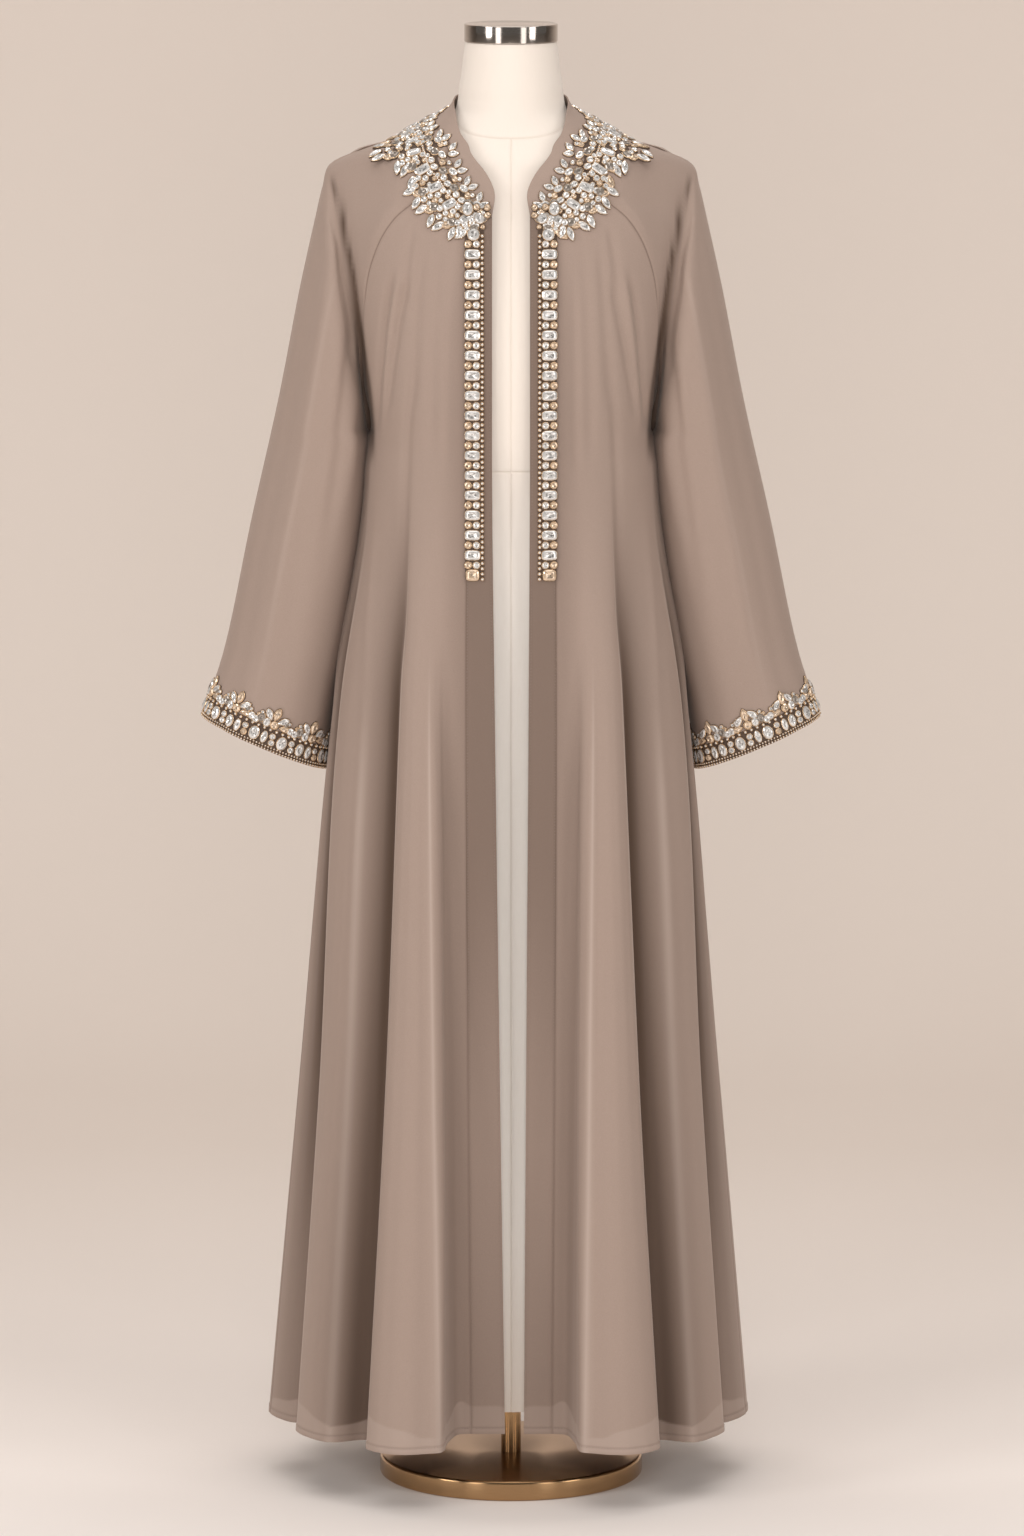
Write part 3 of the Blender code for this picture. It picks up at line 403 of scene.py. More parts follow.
def body_column(side, row, upper_rows, skirt_rows):
    """Points down one column of the body's outer face, from its top seam to the hem."""
    top = top_of_column(row)
    top_x = ring_point(TORSO, *top)[0]
    turn_below = smooth_through(FOLD_KNOTS, CHEST_TURNS, knot_at(row))
    share = np.linspace(0, 1, upper_rows + 1)[:-1] ** ROWS_CROWD_UP
    z = top[0] + (CHEST_Z - top[0]) * share
    swing = 1 - 2 * ease((1 - share) / 2)
    x_below = ring_point(TORSO, CHEST_Z, turn_below)[0]
    straight = turn_at(z, top_x + (x_below - top_x) * swing, row > SIDE_ROW)
    fanned = top[1] + (turn_below - top[1]) * swing
    sideways = ease((x_below / ring_sizes(TORSO, CHEST_Z)[0] - 0.80) / 0.18)
    upper = ring_point(TORSO, z, straight + (fanned - straight) * sideways)
    tangent = ring_point(TORSO, TANGENT_Z, turn_below)
    chest = ring_point(TORSO, CHEST_Z, turn_below)
    rings = [smooth_through(FOLD_KNOTS, ring, knot_at(row)) for ring in fold_rings(side)]
    keys = [(*rings[2], HEM_Z), (*rings[1], KNEE_Z), (*rings[0], HIP_Z), chest, tangent]
    keys = np.array([tuple(key) for key in keys])
    coarse = np.linspace(CHEST_Z, HEM_Z + HEM_ZONE, skirt_rows + 1 - HEM_ROWS)
    heights = np.concatenate([coarse[:-1], np.linspace(HEM_Z + HEM_ZONE, HEM_Z, HEM_ROWS + 1)])
    skirt = smooth_through(keys[:, 2], keys, heights)
    column = np.concatenate([upper, skirt])
    column[:, 0] *= side
    return column


# ---- meshes
def normals_of(grid, ring=False):
    if ring:
        across = np.roll(grid, -1, axis=0) - np.roll(grid, 1, axis=0)
    else:
        across = np.gradient(grid, axis=0)
    down = np.gradient(grid, axis=1)
    return unit(np.cross(across, down))


def turned_to(normals, spot, direction):
    """The normals of a grid, turned round if they face away from a direction at one spot."""
    return -normals if np.dot(normals[spot], direction) < 0 else normals


def top_distance(grid):
    """Length so far down each column of a grid."""
    steps = np.linalg.norm(np.diff(grid, axis=1), axis=2)
    return np.concatenate([np.zeros((len(grid), 1)), np.cumsum(steps, axis=1)], axis=1)


def grid_lengths(grid):
    """Metres across and down at every point of a grid, for the cloth's threads to follow."""
    down = top_distance(grid)
    across = run_of(grid[:, grid.shape[1] * 2 // 3])
    return np.stack([np.broadcast_to(across[:, None], down.shape), down], axis=-1)


def grid_faces(columns, rows, ring=False):
    """Four corners of every cell of a grid. A ring's last column joins its first."""
    i, j = np.meshgrid(np.arange(columns if ring else columns - 1), np.arange(rows - 1), indexing="ij")
    low, ahead = i * rows + j, (i + 1) % columns * rows + j
    return np.stack([low, ahead, ahead + 1, low + 1], axis=-1).reshape(-1, 4)


def face_mesh(name, points, faces):
    """Mesh from arrays of points and of faces that all have the same number of corners."""
    mesh = bpy.data.meshes.new(name)
    mesh.vertices.add(len(points))
    mesh.vertices.foreach_set("co", np.asarray(points, np.float32).ravel())
    mesh.loops.add(faces.size)
    mesh.loops.foreach_set("vertex_index", faces.ravel())
    mesh.polygons.add(len(faces))
    mesh.polygons.foreach_set("loop_start", np.arange(len(faces), dtype=np.int32) * faces.shape[1])
    return mesh


def link(name, mesh, material=None):
    thing = bpy.data.objects.new(name, mesh)
    bpy.context.scene.collection.objects.link(thing)
    if material is not None:
        thing.data.materials.append(material)
    return thing


def solid(name, points, faces, material, uv=None, tone=None, smooth=True, sharp=None):
    """Object from arrays of points and faces, with optional UV and tone by point."""
    faces = np.asarray(faces, np.int32)
    mesh = face_mesh(name, points, faces)
    mesh.update(calc_edges=True)
    mesh.validate()
    if uv is not None:
        layer = mesh.uv_layers.new(name="cloth")
        layer.data.foreach_set("uv", np.asarray(uv, np.float32)[faces.ravel()].ravel())
    if tone is not None:
        layer = mesh.color_attributes.new("tone", "FLOAT_COLOR", "POINT")
        tone = np.asarray(tone, np.float32)
        full = np.ones((len(points), 4), np.float32)
        full[:, :tone.shape[1]] = tone
        layer.data.foreach_set("color", full.ravel())
    if smooth:
        mesh.shade_smooth()
    if sharp is not None:
        mesh.set_sharp_from_angle(angle=math.radians(sharp))
    return link(name, mesh, material)


def shell(name, outer, normals, thickness, tone, ring=False):
    """Closed thin wall of cloth under a grid of outer points."""
    columns, rows = outer.shape[:2]
    half = columns * rows
    points = np.concatenate([outer.reshape(-1, 3), (outer - normals * thickness).reshape(-1, 3)])
    front = grid_faces(columns, rows, ring)
    faces = [front, front[:, ::-1] + half]

    def rim(a, b, backward):
        wall = np.stack([a, b, b + half, a + half], axis=-1)
        faces.append(wall[:, ::-1] if backward else wall)

    i = np.arange(columns if ring else columns - 1)
    for j, backward in ((0, True), (rows - 1, False)):
        rim(i * rows + j, (i + 1) % columns * rows + j, backward)
    if not ring:
        j = np.arange(rows - 1)
        for i, backward in ((0, False), (columns - 1, True)):
            rim(i * rows + j, i * rows + j + 1, backward)
    faces = np.concatenate(faces)
    corners = points[np.concatenate([faces[:, [0, 1, 2]], faces[:, [0, 2, 3]]])]
    if np.einsum("ij,ij->i", corners[:, 0], np.cross(corners[:, 1], corners[:, 2])).sum() < 0:
        faces = faces[:, ::-1]
    uv = np.concatenate([grid_lengths(outer).reshape(-1, 2)] * 2)
    tones = np.concatenate([tone.reshape(-1, tone.shape[-1])] * 2)
    return solid(name, points, faces, CHIFFON, uv, tones, sharp=50)


# ---- materials
class Graph:
    """Small helper that adds nodes to one material."""

    def __init__(self, name):
        self.material = bpy.data.materials.new(name)
        self.material.use_nodes = True
        self.nodes = self.material.node_tree.nodes
        self.links = self.material.node_tree.links
        self.shader = self.nodes["Principled BSDF"]

    def add(self, kind, **settings):
        node = self.nodes.new(kind)
        for name, value in settings.items():
            setattr(node, name, value)
        return node

    def join(self, source, target):
        self.links.new(source, target)

    def fixed(self, **values):
        for name, value in values.items():
            self.shader.inputs[name.replace("_", " ")].default_value = value

    def feed(self, **sources):
        for name, source in sources.items():
            self.join(source, self.shader.inputs[name.replace("_", " ")])

    def places(self, kind="Object"):
        return self.add("ShaderNodeTexCoord").outputs[kind]

    def noise(self, vector, scale, detail=2.0, stretch=None):
        if stretch is not None:
            mapping = self.add("ShaderNodeMapping")
            mapping.inputs["Scale"].default_value = stretch
            self.join(vector, mapping.inputs["Vector"])
            vector = mapping.outputs["Vector"]
        node = self.add("ShaderNodeTexNoise")
        node.inputs["Scale"].default_value = scale
        node.inputs["Detail"].default_value = detail
        self.join(vector, node.inputs["Vector"])
        return node.outputs["Fac"]

    def threads(self, vector, pitch, direction):
        node = self.add("ShaderNodeTexWave", wave_type="BANDS", bands_direction=direction)
        node.inputs["Scale"].default_value = 2 * math.pi / (20 * pitch)
        node.inputs["Distortion"].default_value = 0.6
        node.inputs["Detail"].default_value = 1.0
        self.join(vector, node.inputs["Vector"])
        return node.outputs["Fac"]

    def math(self, operation, a, b):
        node = self.add("ShaderNodeMath", operation=operation)
        for socket, value in zip(node.inputs, (a, b)):
            if isinstance(value, (int, float)):
                socket.default_value = value
            else:
                self.join(value, socket)
        return node.outputs[0]

    def ramp(self, factor, first, last, start=0.3, end=0.7):
        node = self.add("ShaderNodeValToRGB")
        for element, position, color in zip(node.color_ramp.elements, (start, end), (first, last)):
            element.position = position
            element.color = (*color, 1)
        self.join(factor, node.inputs["Fac"])
        return node.outputs["Color"]

    def mix(self, factor, a, b):
        node = self.add("ShaderNodeMix", data_type="RGBA")
        for socket, value in zip((node.inputs[0], node.inputs[6], node.inputs[7]), (factor, a, b)):
            if isinstance(value, (int, float)):
                socket.default_value = value
            elif isinstance(value, tuple):
                socket.default_value = (*value, 1)
            else:
                self.join(value, socket)
        return node.outputs[2]

    def attribute(self, name):
        node = self.add("ShaderNodeAttribute", attribute_name=name)
        split = self.add("ShaderNodeSeparateColor")
        self.join(node.outputs["Color"], split.inputs[0])
        return split.outputs

    def bump(self, height, strength, distance, after=None):
        node = self.add("ShaderNodeBump")
        node.inputs["Strength"].default_value = strength
        node.inputs["Distance"].default_value = distance
        self.join(height, node.inputs["Height"])
        if after is not None:
            self.join(after, node.inputs["Normal"])
        return node.outputs["Normal"]

    def spread(self, factor, low, high):
        node = self.add("ShaderNodeMapRange")
        node.inputs["To Min"].default_value = low
        node.inputs["To Max"].default_value = high
        self.join(factor, node.inputs["Value"])
        return node.outputs["Result"]


def chiffon_material():
    """Matt crêpe chiffon: a fine twisted-thread grain, a soft sheen, a lighter single hem layer,
    painted shade deep in the folds and painted highlights on the fold edges that turn over.
    """
    g = Graph("chiffon")
    uv = g.places("UV")
    seam, sheer_and_highlight, deep_painted_dark = g.attribute("tone")
    grain = g.noise(g.places(), 1300.0, 2.0)
    broad = g.noise(g.places(), 5.0, 2.0)
    weave = g.math("MULTIPLY", g.threads(uv, 0.00075, "X"), g.threads(uv, 0.00085, "Y"))
    color = g.ramp(grain, CLOTH_DARK, CLOTH_LIGHT)
    color = g.mix(g.spread(broad, 0.0, 0.35), color, CLOTH_WARM)
    color = g.mix(g.spread(weave, 0.0, 0.12), color, CLOTH_DARK)
    # The second channel of tone lightens the sheer hem layer, where light comes through, and paints
    # highlights on the fold edges that turn over.
    color = g.mix(sheer_and_highlight, color, CLOTH_SHEER_AND_HIGHLIGHT)
    color = g.mix(seam, CLOTH_SEAM, color)
    # Painted shade: the third channel of tone darkens the cloth deep in the folds, in the arm trough
    # and on the facings.
    color = g.mix(deep_painted_dark, color, CLOTH_PAINTED_SHADE)
    g.feed(Base_Color=color)
    g.fixed(Metallic=0.0, Specular_IOR_Level=0.22, Sheen_Weight=0.16, Sheen_Roughness=0.45)
    g.fixed(Sheen_Tint=(1.0, 0.86, 0.78, 1.0))
    g.feed(Roughness=g.spread(grain, 0.62, 0.8))
    normal = g.bump(weave, 0.25, 0.00012)
    normal = g.bump(grain, 0.22, 0.0002, normal)
    g.feed(Normal=normal)
    return g.material


def linen_material():
    g = Graph("linen")
    uv = g.places("UV")
    seam, high, low = g.attribute("tone")
    warp = g.threads(uv, 0.0011, "X")
    weft = g.threads(uv, 0.0012, "Y")
    slub = g.noise(uv, 60.0, 3.0, (8.0, 1.0, 1.0))
    weave = g.math("MAXIMUM", warp, weft)
    color = g.ramp(slub, LINEN_DARK, LINEN_LIGHT)
    color = g.mix(g.spread(weave, 0.03, 0.0), color, (0.70, 0.60, 0.49))
    color = g.mix(seam, (0.42, 0.32, 0.24), color)
    # Painted shadow: low darkens the lower form, where the cloth shades it. Painted shade: high darkens
    # the upper form.
    color = g.mix(low, color, LINEN_PAINTED_SHADOW)
    color = g.mix(high, color, LINEN_PAINTED_SHADE)
    g.feed(Base_Color=color)
    g.fixed(Metallic=0.0, Roughness=0.85, Specular_IOR_Level=0.2, Sheen_Weight=0.15)
    g.fixed(Sheen_Roughness=0.5)
    normal = g.bump(weave, 0.06, 0.00008)
    normal = g.bump(slub, 0.08, 0.0002, normal)
    g.feed(Normal=normal)
    return g.material


def metal_material(name, light, dark, low, high, brushing, bump):
    """Brushed or polished metal, of roughness low to high: stretched noise marks the brushing."""
    g = Graph(name)
    marks = g.noise(g.places("UV"), 60.0, 3.0, brushing)
    smudge = g.noise(g.places(), 18.0, 2.0)
    color = g.ramp(marks, dark, light)
    g.feed(Base_Color=color)
    g.fixed(Metallic=1.0)
    if name == "bronze":
        tangent = g.add("ShaderNodeTangent", direction_type="RADIAL", axis="Z")
        g.feed(Tangent=tangent.outputs[0])
        g.fixed(Anisotropic=0.85, Anisotropic_Rotation=0.25)
    rough = g.math("ADD", g.spread(marks, low, high), g.spread(smudge, -0.02, 0.03))
    g.feed(Roughness=rough)
    g.feed(Normal=g.bump(marks, bump, 0.0003))
    return g.material


def stage_material():
    g = Graph("studio_sweep")
    height = g.add("ShaderNodeSeparateXYZ")
    g.join(g.places(), height.inputs[0])
    painted_falloff = g.add("ShaderNodeMapRange")
    painted_falloff.inputs["From Min"].default_value = -0.6
    painted_falloff.inputs["From Max"].default_value = 1.8
    g.join(height.outputs["Y"], painted_falloff.inputs["Value"])
    cloud = g.noise(g.places(), 1.3, 3.0)
    # Painted shade: the sweep darkens from the floor colour in front to the wall colour from y 1.8
    # back.
    color = g.ramp(painted_falloff.outputs["Result"], FLOOR_COLOR, WALL_COLOR, 0.0, 1.0)
    color = g.mix(g.spread(cloud, 0.0, 0.10), color, (0.60, 0.50, 0.43))
    g.feed(Base_Color=color)
    g.fixed(Roughness=0.9, Specular_IOR_Level=0.1)
    g.feed(Normal=g.bump(g.noise(g.places(), 220.0, 3.0), 0.06, 0.002))
    side = g.add("ShaderNodeNewGeometry")
    clear = g.add("ShaderNodeBsdfTransparent")
    either = g.add("ShaderNodeMixShader")
    g.join(side.outputs["Backfacing"], either.inputs[0])
    g.join(g.shader.outputs[0], either.inputs[1])
    g.join(clear.outputs[0], either.inputs[2])
    g.join(either.outputs[0], g.nodes["Material Output"].inputs["Surface"])
    return g.material


CLOTH_LIGHT = (0.352, 0.268, 0.224)
CLOTH_DARK = (0.306, 0.230, 0.190)
CLOTH_WARM = (0.338, 0.250, 0.206)
CLOTH_SHEER_AND_HIGHLIGHT = (0.440, 0.350, 0.300)
CLOTH_SEAM = (0.150, 0.098, 0.074)
STITCH_COLOR = (0.215, 0.150, 0.118)
CLOTH_PAINTED_SHADE = (0.068, 0.040, 0.026)
LINEN_DARK = (0.930, 0.872, 0.806)
LINEN_LIGHT = (0.950, 0.895, 0.832)
LINEN_PAINTED_SHADOW = (0.600, 0.440, 0.320)
LINEN_PAINTED_SHADE = (0.600, 0.505, 0.425)
WALL_COLOR = (0.700, 0.620, 0.560)
FLOOR_COLOR = (0.905, 0.845, 0.808)

CHIFFON = chiffon_material()
LINEN = linen_material()
CHROME = metal_material(
    "chrome", (0.58, 0.53, 0.48), (0.48, 0.43, 0.39), 0.07, 0.14, (1, 90, 1), 0.02)
BRONZE = metal_material(
    "bronze", (0.53, 0.340, 0.178), (0.42, 0.258, 0.130), 0.17, 0.22, (1, 60, 1), 0.08)


def finished(thing, slot, *nodes):
    """Rides on the part's one body and stands for its CAD nodes. The slot is not used."""
    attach(thing, "root")
    if nodes:
        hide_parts(*nodes)
    return thing


# ---- creases
# Soft troughs and ridges laid on the cloth: (z, x) down the line, half width, height, side.
# A height below zero is a trough. The side is -1, +1, or 0 for both.
FRONT_CREASES = (
    (((1.350, 0.1265), (1.300, 0.1340), (1.235, 0.1400), (1.150, 0.1465)), 0.0046, -0.0036, 0),
    (((1.350, 0.1180), (1.300, 0.1270), (1.235, 0.1345), (1.150, 0.1420)), 0.0046, 0.0028, 0),
    (((1.345, 0.1080), (1.300, 0.1190), (1.235, 0.1290), (1.160, 0.1400)), 0.0046, -0.0034, -1),
    (((1.340, 0.1060), (1.290, 0.1170), (1.235, 0.1270), (1.165, 0.1390)), 0.0046, -0.0030, 1),
    (((1.260, 0.1020), (1.180, 0.1105), (1.100, 0.1140), (1.020, 0.1160), (0.900, 0.1190)),
     0.0050, -0.0026, -1),
    (((1.270, 0.1040), (1.180, 0.1120), (1.100, 0.1150), (1.020, 0.1170), (0.900, 0.1200)),
     0.0050, -0.0026, 1),
    (((1.390, 0.0760), (1.330, 0.0800), (1.250, 0.0840), (1.120, 0.0860)), 0.0070, -0.0018, 0),
    (((1.385, 0.0930), (1.330, 0.0985), (1.260, 0.1030), (1.180, 0.1060)), 0.0060, -0.0019, 0),
    (((1.378, 0.0620), (1.320, 0.0650), (1.240, 0.0670), (1.100, 0.0690)), 0.0060, -0.0016, -1),
    (((1.372, 0.0660), (1.310, 0.0680), (1.230, 0.0690), (1.100, 0.0700)), 0.0060, -0.0016, 1),
    (((1.395, 0.1050), (1.350, 0.1120), (1.300, 0.1160)), 0.0045, -0.0020, 0),
    (((1.050, 0.0830), (0.900, 0.0870), (0.600, 0.0850), (0.300, 0.0840)), 0.0110, -0.0016, -1),
    (((1.000, 0.0900), (0.850, 0.0930), (0.560, 0.0930), (0.260, 0.0930)), 0.0110, -0.0014, 1),
    (((0.980, 0.0790), (0.910, 0.0785), (0.730, 0.0775), (0.500, 0.0775), (0.270, 0.0795),
      (-0.10, 0.0850)), 0.0032, 0.0016, 0),
    (((0.980, 0.0850), (0.700, 0.0830), (0.440, 0.0810), (0.200, 0.0800), (-0.20, 0.0830)),
     0.0075, 0.0055, 0),
    (((1.120, 0.1420), (1.004, 0.1520), (0.843, 0.1605), (0.744, 0.1670), (0.505, 0.1790)),
     0.0045, 0.0014, 0),
)
BACK_CREASES = (
    (((1.440, 0.0350), (1.360, 0.0400), (1.260, 0.0440), (1.120, 0.0470)), 0.0080, -0.0016, 0),
    (((1.430, 0.0700), (1.350, 0.0780), (1.250, 0.0850), (1.130, 0.0900)), 0.0075, -0.0015, -1),
    (((1.420, 0.0740), (1.340, 0.0800), (1.240, 0.0860), (1.130, 0.0880)), 0.0075, -0.0015, 1),
    (((1.370, 0.1200), (1.300, 0.1280), (1.230, 0.1340), (1.150, 0.1390)), 0.0060, -0.0020, 0),
    (((1.450, 0.0120), (1.350, 0.0150), (1.200, 0.0180), (1.050, 0.0200)), 0.0070, -0.0011, 1),
    (((1.445, 0.0150), (1.340, 0.0170), (1.190, 0.0170), (1.040, 0.0160)), 0.0070, -0.0011, -1),
    (((0.900, 0.0080), (0.600, 0.0100), (0.300, 0.0120)), 0.0110, -0.0018, 1),
    (((0.850, 0.0900), (0.600, 0.0940), (0.300, 0.0980)), 0.0120, -0.0016, -1),
)


def line_effect(z, x, line, width, height):
    """Height of one crease at places (z, x): a soft profile that fades in and out along its line."""
    points = np.array(line)[::-1]
    middle = smooth_through(points[:, 0], points[:, 1], z)
    run = points[-1, 0] - points[0, 0]
    fade = ease((z - points[0, 0]) / (0.22 * run)) * ease((points[-1, 0] - z) / (0.22 * run))
    return height * fade * np.exp(-((x - middle) / width) ** 2)


def creased(grid, normals, side, behind=False):
    height = np.zeros(grid.shape[:2])
    for line, width, size, only in (BACK_CREASES if behind else FRONT_CREASES):
        if only in (0, side):
            height += line_effect(grid[..., 2], grid[..., 0] * side, line, width, size)
    return grid + normals * height[..., None]


def rippled(grid, normals, side, knots):
    """Uneven shallow drape from chest to hem, so that no two folds hang alike."""
    z = grid[..., 2]
    down = ease((1.08 - z) / 0.5)
    phase = knots[:, None] * 26.0 + side * 1.7
    wave = np.sin(phase + 1.3 * np.sin(z * 3.1 + side)) * 0.55
    wave += np.sin(phase * 2.3 + z * 2.2 + 0.8) * 0.45
    return grid + normals * (down * wave * 0.0004)[..., None]


# ---- cloth pieces
UPPER_ROWS = 64
SKIRT_ROWS = 118
HEM_TURN = 0.0075           # depth of the narrow hem
SEAM_DIP = 0.0007           # how far the cloth dips into a seam
SEAM_REACH = 0.0035
SEAM_LINE = 0.0009          # half width of a seam's dark line
BAND_SEAM_TONE = 0.30       # strength of the line beside the front band
FACING_SHELL = 1.6 * SHELL
# strength of the painted highlight along the fold edges
RIM_HIGHLIGHT = 0.78
SHEER_TONE = 0.34
SHEER_EDGE = 0.0025         # height over which the single layer above the hem ends
# strength of the painted shade in the trough where the arm folds against the chest
TROUGH_PAINTED_SHADE = 0.95
TROUGH_SHADE = (0.003, 0.013)   # half widths of the trough's shade at its top and lower down
TROUGH_DENT = (0.005, 0.008)
TROUGH_DEPTH = 0.0035
LEAN_TOP_Z = 1.163          # below it, arm and body lean on each other
LEAN_END_Z = 0.84
BODY_SWELL = 0.0048
SLEEVE_REACH_IN = 0.0052


def cloth_tone(grid, edges, strength=0.75):
    """Tone by point: how open a seam is (1 away from it), the sheer hem layer with painted highlights,
    and painted shade.
    """
    tone = np.zeros((*grid.shape[:2], 3))
    tone[..., 0] = 1.0
    for distance in edges:
        tone[..., 0] = np.minimum(tone[..., 0], 1 - strength * np.exp(-(distance / SEAM_LINE) ** 2))
    return tone


# Painted shade where the cloth lies deep between folds, and painted highlights where a fold turns
# over and catches the light: fold row, reach in rows before and after it, strength, height where
# it fades out and the share of the strength that is left at the hem.
FRONT_PAINTED_SHADES = (
    (1.0, 1.0, 1.4, 0.27, 1.70, 1.0),
    (2.2, 2.2, 0.85, 0.34, 1.05, 1.0),
    (8.1, 0.45, 1.35, 0.97, 1.15, 0.9),
    (12.9, 0.35, 1.1, 0.96, 1.16, 0.45),
)
OVERHUNG = (8.1, 12.9)      # grooves that the fold beside them hangs over, more towards the hem
FRONT_PAINTED_HIGHLIGHTS = ((4.0, 0.10, 0.95), (7.0, 0.13, 1.10), (12.0, 0.13, 1.08), (10.0, 0.20, 0.90))
BACK_PAINTED_SHADES = (
    (17.0, 0.9, 0.5, 0.85, 1.12, 0.8),
    (21.0, 1.1, 0.7, 0.92, 1.12, 0.8),
    (25.0, 1.0, 0.8, 0.80, 1.10, 0.8),
)
BACK_PAINTED_HIGHLIGHTS = ((16.0, 0.14, 1.05), (19.0, 0.16, 1.05), (23.0, 0.16, 1.05))


def fold_painted_shade_and_highlight(grid, tone, rows, painted_shades, painted_highlights):
    """Painted shade deep down in the folds and painted highlights along the edges that turn over."""
    z = grid[..., 2]
    at = rows[:, None]
    for row, before, after, strength, top, low_share in painted_shades:
        middle = row + (0.85 * ease((0.90 - z) / 0.80) if row in OVERHUNG else 0.0)
        reach = np.where(at < middle, before * (1 + 2 * (middle - row)), after)
        depth = np.exp(-((at - middle) / reach) ** 2) * ease((top - z) / 0.30)
        strength = strength * (1 - (1 - low_share) * ease((0.62 - z) / 0.50))
        tone[..., 2] = np.maximum(tone[..., 2], strength * depth)
    for row, reach, top in painted_highlights:
        rim = np.exp(-((at - row) / reach) ** 2) * ease((top - z) / 0.15)
        tone[..., 1] = np.maximum(tone[..., 1], RIM_HIGHLIGHT * rim)
    return tone


def hem_tone(grid, tone, knots):
    """The single layer above the hem lets light through, in an uneven soft-edged zone."""
    above = grid[..., 2] - HEM_Z
    swing = np.sin(knots * 7.0) + 0.7 * np.abs(np.sin(knots * 11.0 + 1))
    swing += 0.25 * np.sin(knots * 23.0 + 2)
    single = ease((0.024 + 0.0085 * swing[:, None] - above) / SHEER_EDGE)
    tone[..., 1] = np.maximum(tone[..., 1], SHEER_TONE * single * ease(above / 0.004))
    tone[..., 2] *= 1 - 0.45 * single
    line = np.exp(-((above - HEM_TURN) / 0.0010) ** 2)
    tone[..., 0] = np.minimum(tone[..., 0], 1 - 0.30 * line)
    return tone


def hem_shape(grid, normals):
    """The turned-up hem stands a little proud and rolls at its lower edge."""
    above = grid[..., 2] - HEM_Z
    step = 0.00045 * ease((HEM_TURN + 0.0006 - above) / 0.0012)
    return grid + normals * step[..., None]


def body_rows(side, start, end, density):
    count = int(round((end - start) * density)) + 1
    rows = np.linspace(start, end, count)
    grid = np.array([body_column(side, row, UPPER_ROWS, SKIRT_ROWS) for row in rows])
    knots = np.array([knot_at(row) for row in rows])
    return rows, knots, grid


def outward(grid):
    """The normals of a body grid, turned to face away from the centre line."""
    middle = (grid.shape[0] // 2, grid.shape[1] // 3)
    return turned_to(normals_of(grid), middle, grid[middle] * np.array([1.0, 1.0, 0.0]))


def edge_distance(grid, column):
    return np.linalg.norm(grid - grid[column][None], axis=2)


def dipped(grid, normals, distances):
    """The cloth dips into each seam."""
    dip = np.zeros(grid.shape[:2])
    for distance in distances:
        dip = np.maximum(dip, SEAM_DIP * np.exp(-(distance / SEAM_REACH * 1.6) ** 2))
    return grid - normals * dip[..., None]


FRONT_PARTS = ("inner", "middle", "outer", "return", "side")
BACK_PARTS = ("side", "outer", "inner")


def swollen(grid, normals, rows, side_row):
    """Below the underarm the side of the body fills out until it rests on the sleeve."""
    z = grid[..., 2]
    swell = ease((LEAN_TOP_Z - z) / 0.010) * ease((z - LEAN_END_Z) / 0.12)
    near = np.exp(-((rows[:, None] - side_row) / 1.8) ** 2)
    return grid + normals * (BODY_SWELL * swell * near)[..., None]


BODY = {}


def draped(side, start, end, density, behind=False):
    """Grid of one half of the body with its creases, and the rows and knots of its columns."""
    rows, knots, grid = body_rows(side, start, end, density)
    normals = outward(grid)
    grid = creased(grid, normals, side, behind)
    grid = rippled(grid, normals, side, knots)
    return rows, knots, swollen(grid, normals, rows, SIDE_ROW)


def sewn(grid, seams):
    """A grid of the body with its seams and hem, and the normals it had before them."""
    normals = outward(grid)
    return hem_shape(dipped(grid, normals, seams), normals), normals


def body_piece(key, name, grid, normals, tone, knots, thickness, *nodes):
    BODY[key] = (grid, normals)
    piece = shell(name, grid, normals, thickness, hem_tone(grid, tone, knots))
    finished(piece, "chiffon", *nodes)


def build_fronts():
    for side_name, side in SIDES.items():
        rows, knots, grid = draped(side, BAND_ROW, SIDE_ROW, 8)
        top, inner_edge, side_edge = top_distance(grid), edge_distance(grid, 0), edge_distance(grid, -1)
        grid, normals = sewn(grid, (top, inner_edge, side_edge))
        tone = cloth_tone(grid, (top, side_edge))
        beside_band = cloth_tone(grid, (inner_edge,), BAND_SEAM_TONE)
        tone[..., 0] = np.minimum(tone[..., 0], beside_band[..., 0])
        tone = fold_painted_shade_and_highlight(grid, tone, rows, FRONT_PAINTED_SHADES, FRONT_PAINTED_HIGHLIGHTS)
        # Painted shade in the trough between arm and chest.
        tone[..., 2] = np.maximum(tone[..., 2], TROUGH_PAINTED_SHADE * arm_trough(grid, side, *TROUGH_SHADE))
        nodes = [f"front_{side_name}_{part}" for part in FRONT_PARTS]
        name = f"front_panel_{side_name}"
        body_piece(f"front_{side_name}", name, grid, normals, tone, knots, SHELL, *nodes)


def build_front_bands():
    for side_name, side in SIDES.items():
        _, knots, grid = body_rows(side, 0, BAND_ROW, 12)
        normals = outward(grid)
        seam = edge_distance(grid, -1)
        grid = grid + normals * (0.0005 * ease(seam / 0.004))[..., None]
        grid = hem_shape(dipped(grid, normals, (seam,)), normals)
        tone = cloth_tone(grid, (seam,), BAND_SEAM_TONE)
        # The facing takes the painted shade colour, more strongly higher up: partly the denser double
        # layer, partly painted shade.
        tone[..., 2] = 0.20 + 0.34 * ease((grid[..., 2] - 0.35) / 0.40)
        name, node = f"facing_{side_name}", f"front_band_{side_name}"
        body_piece(f"band_{side_name}", name, grid, normals, tone, knots, FACING_SHELL, node)


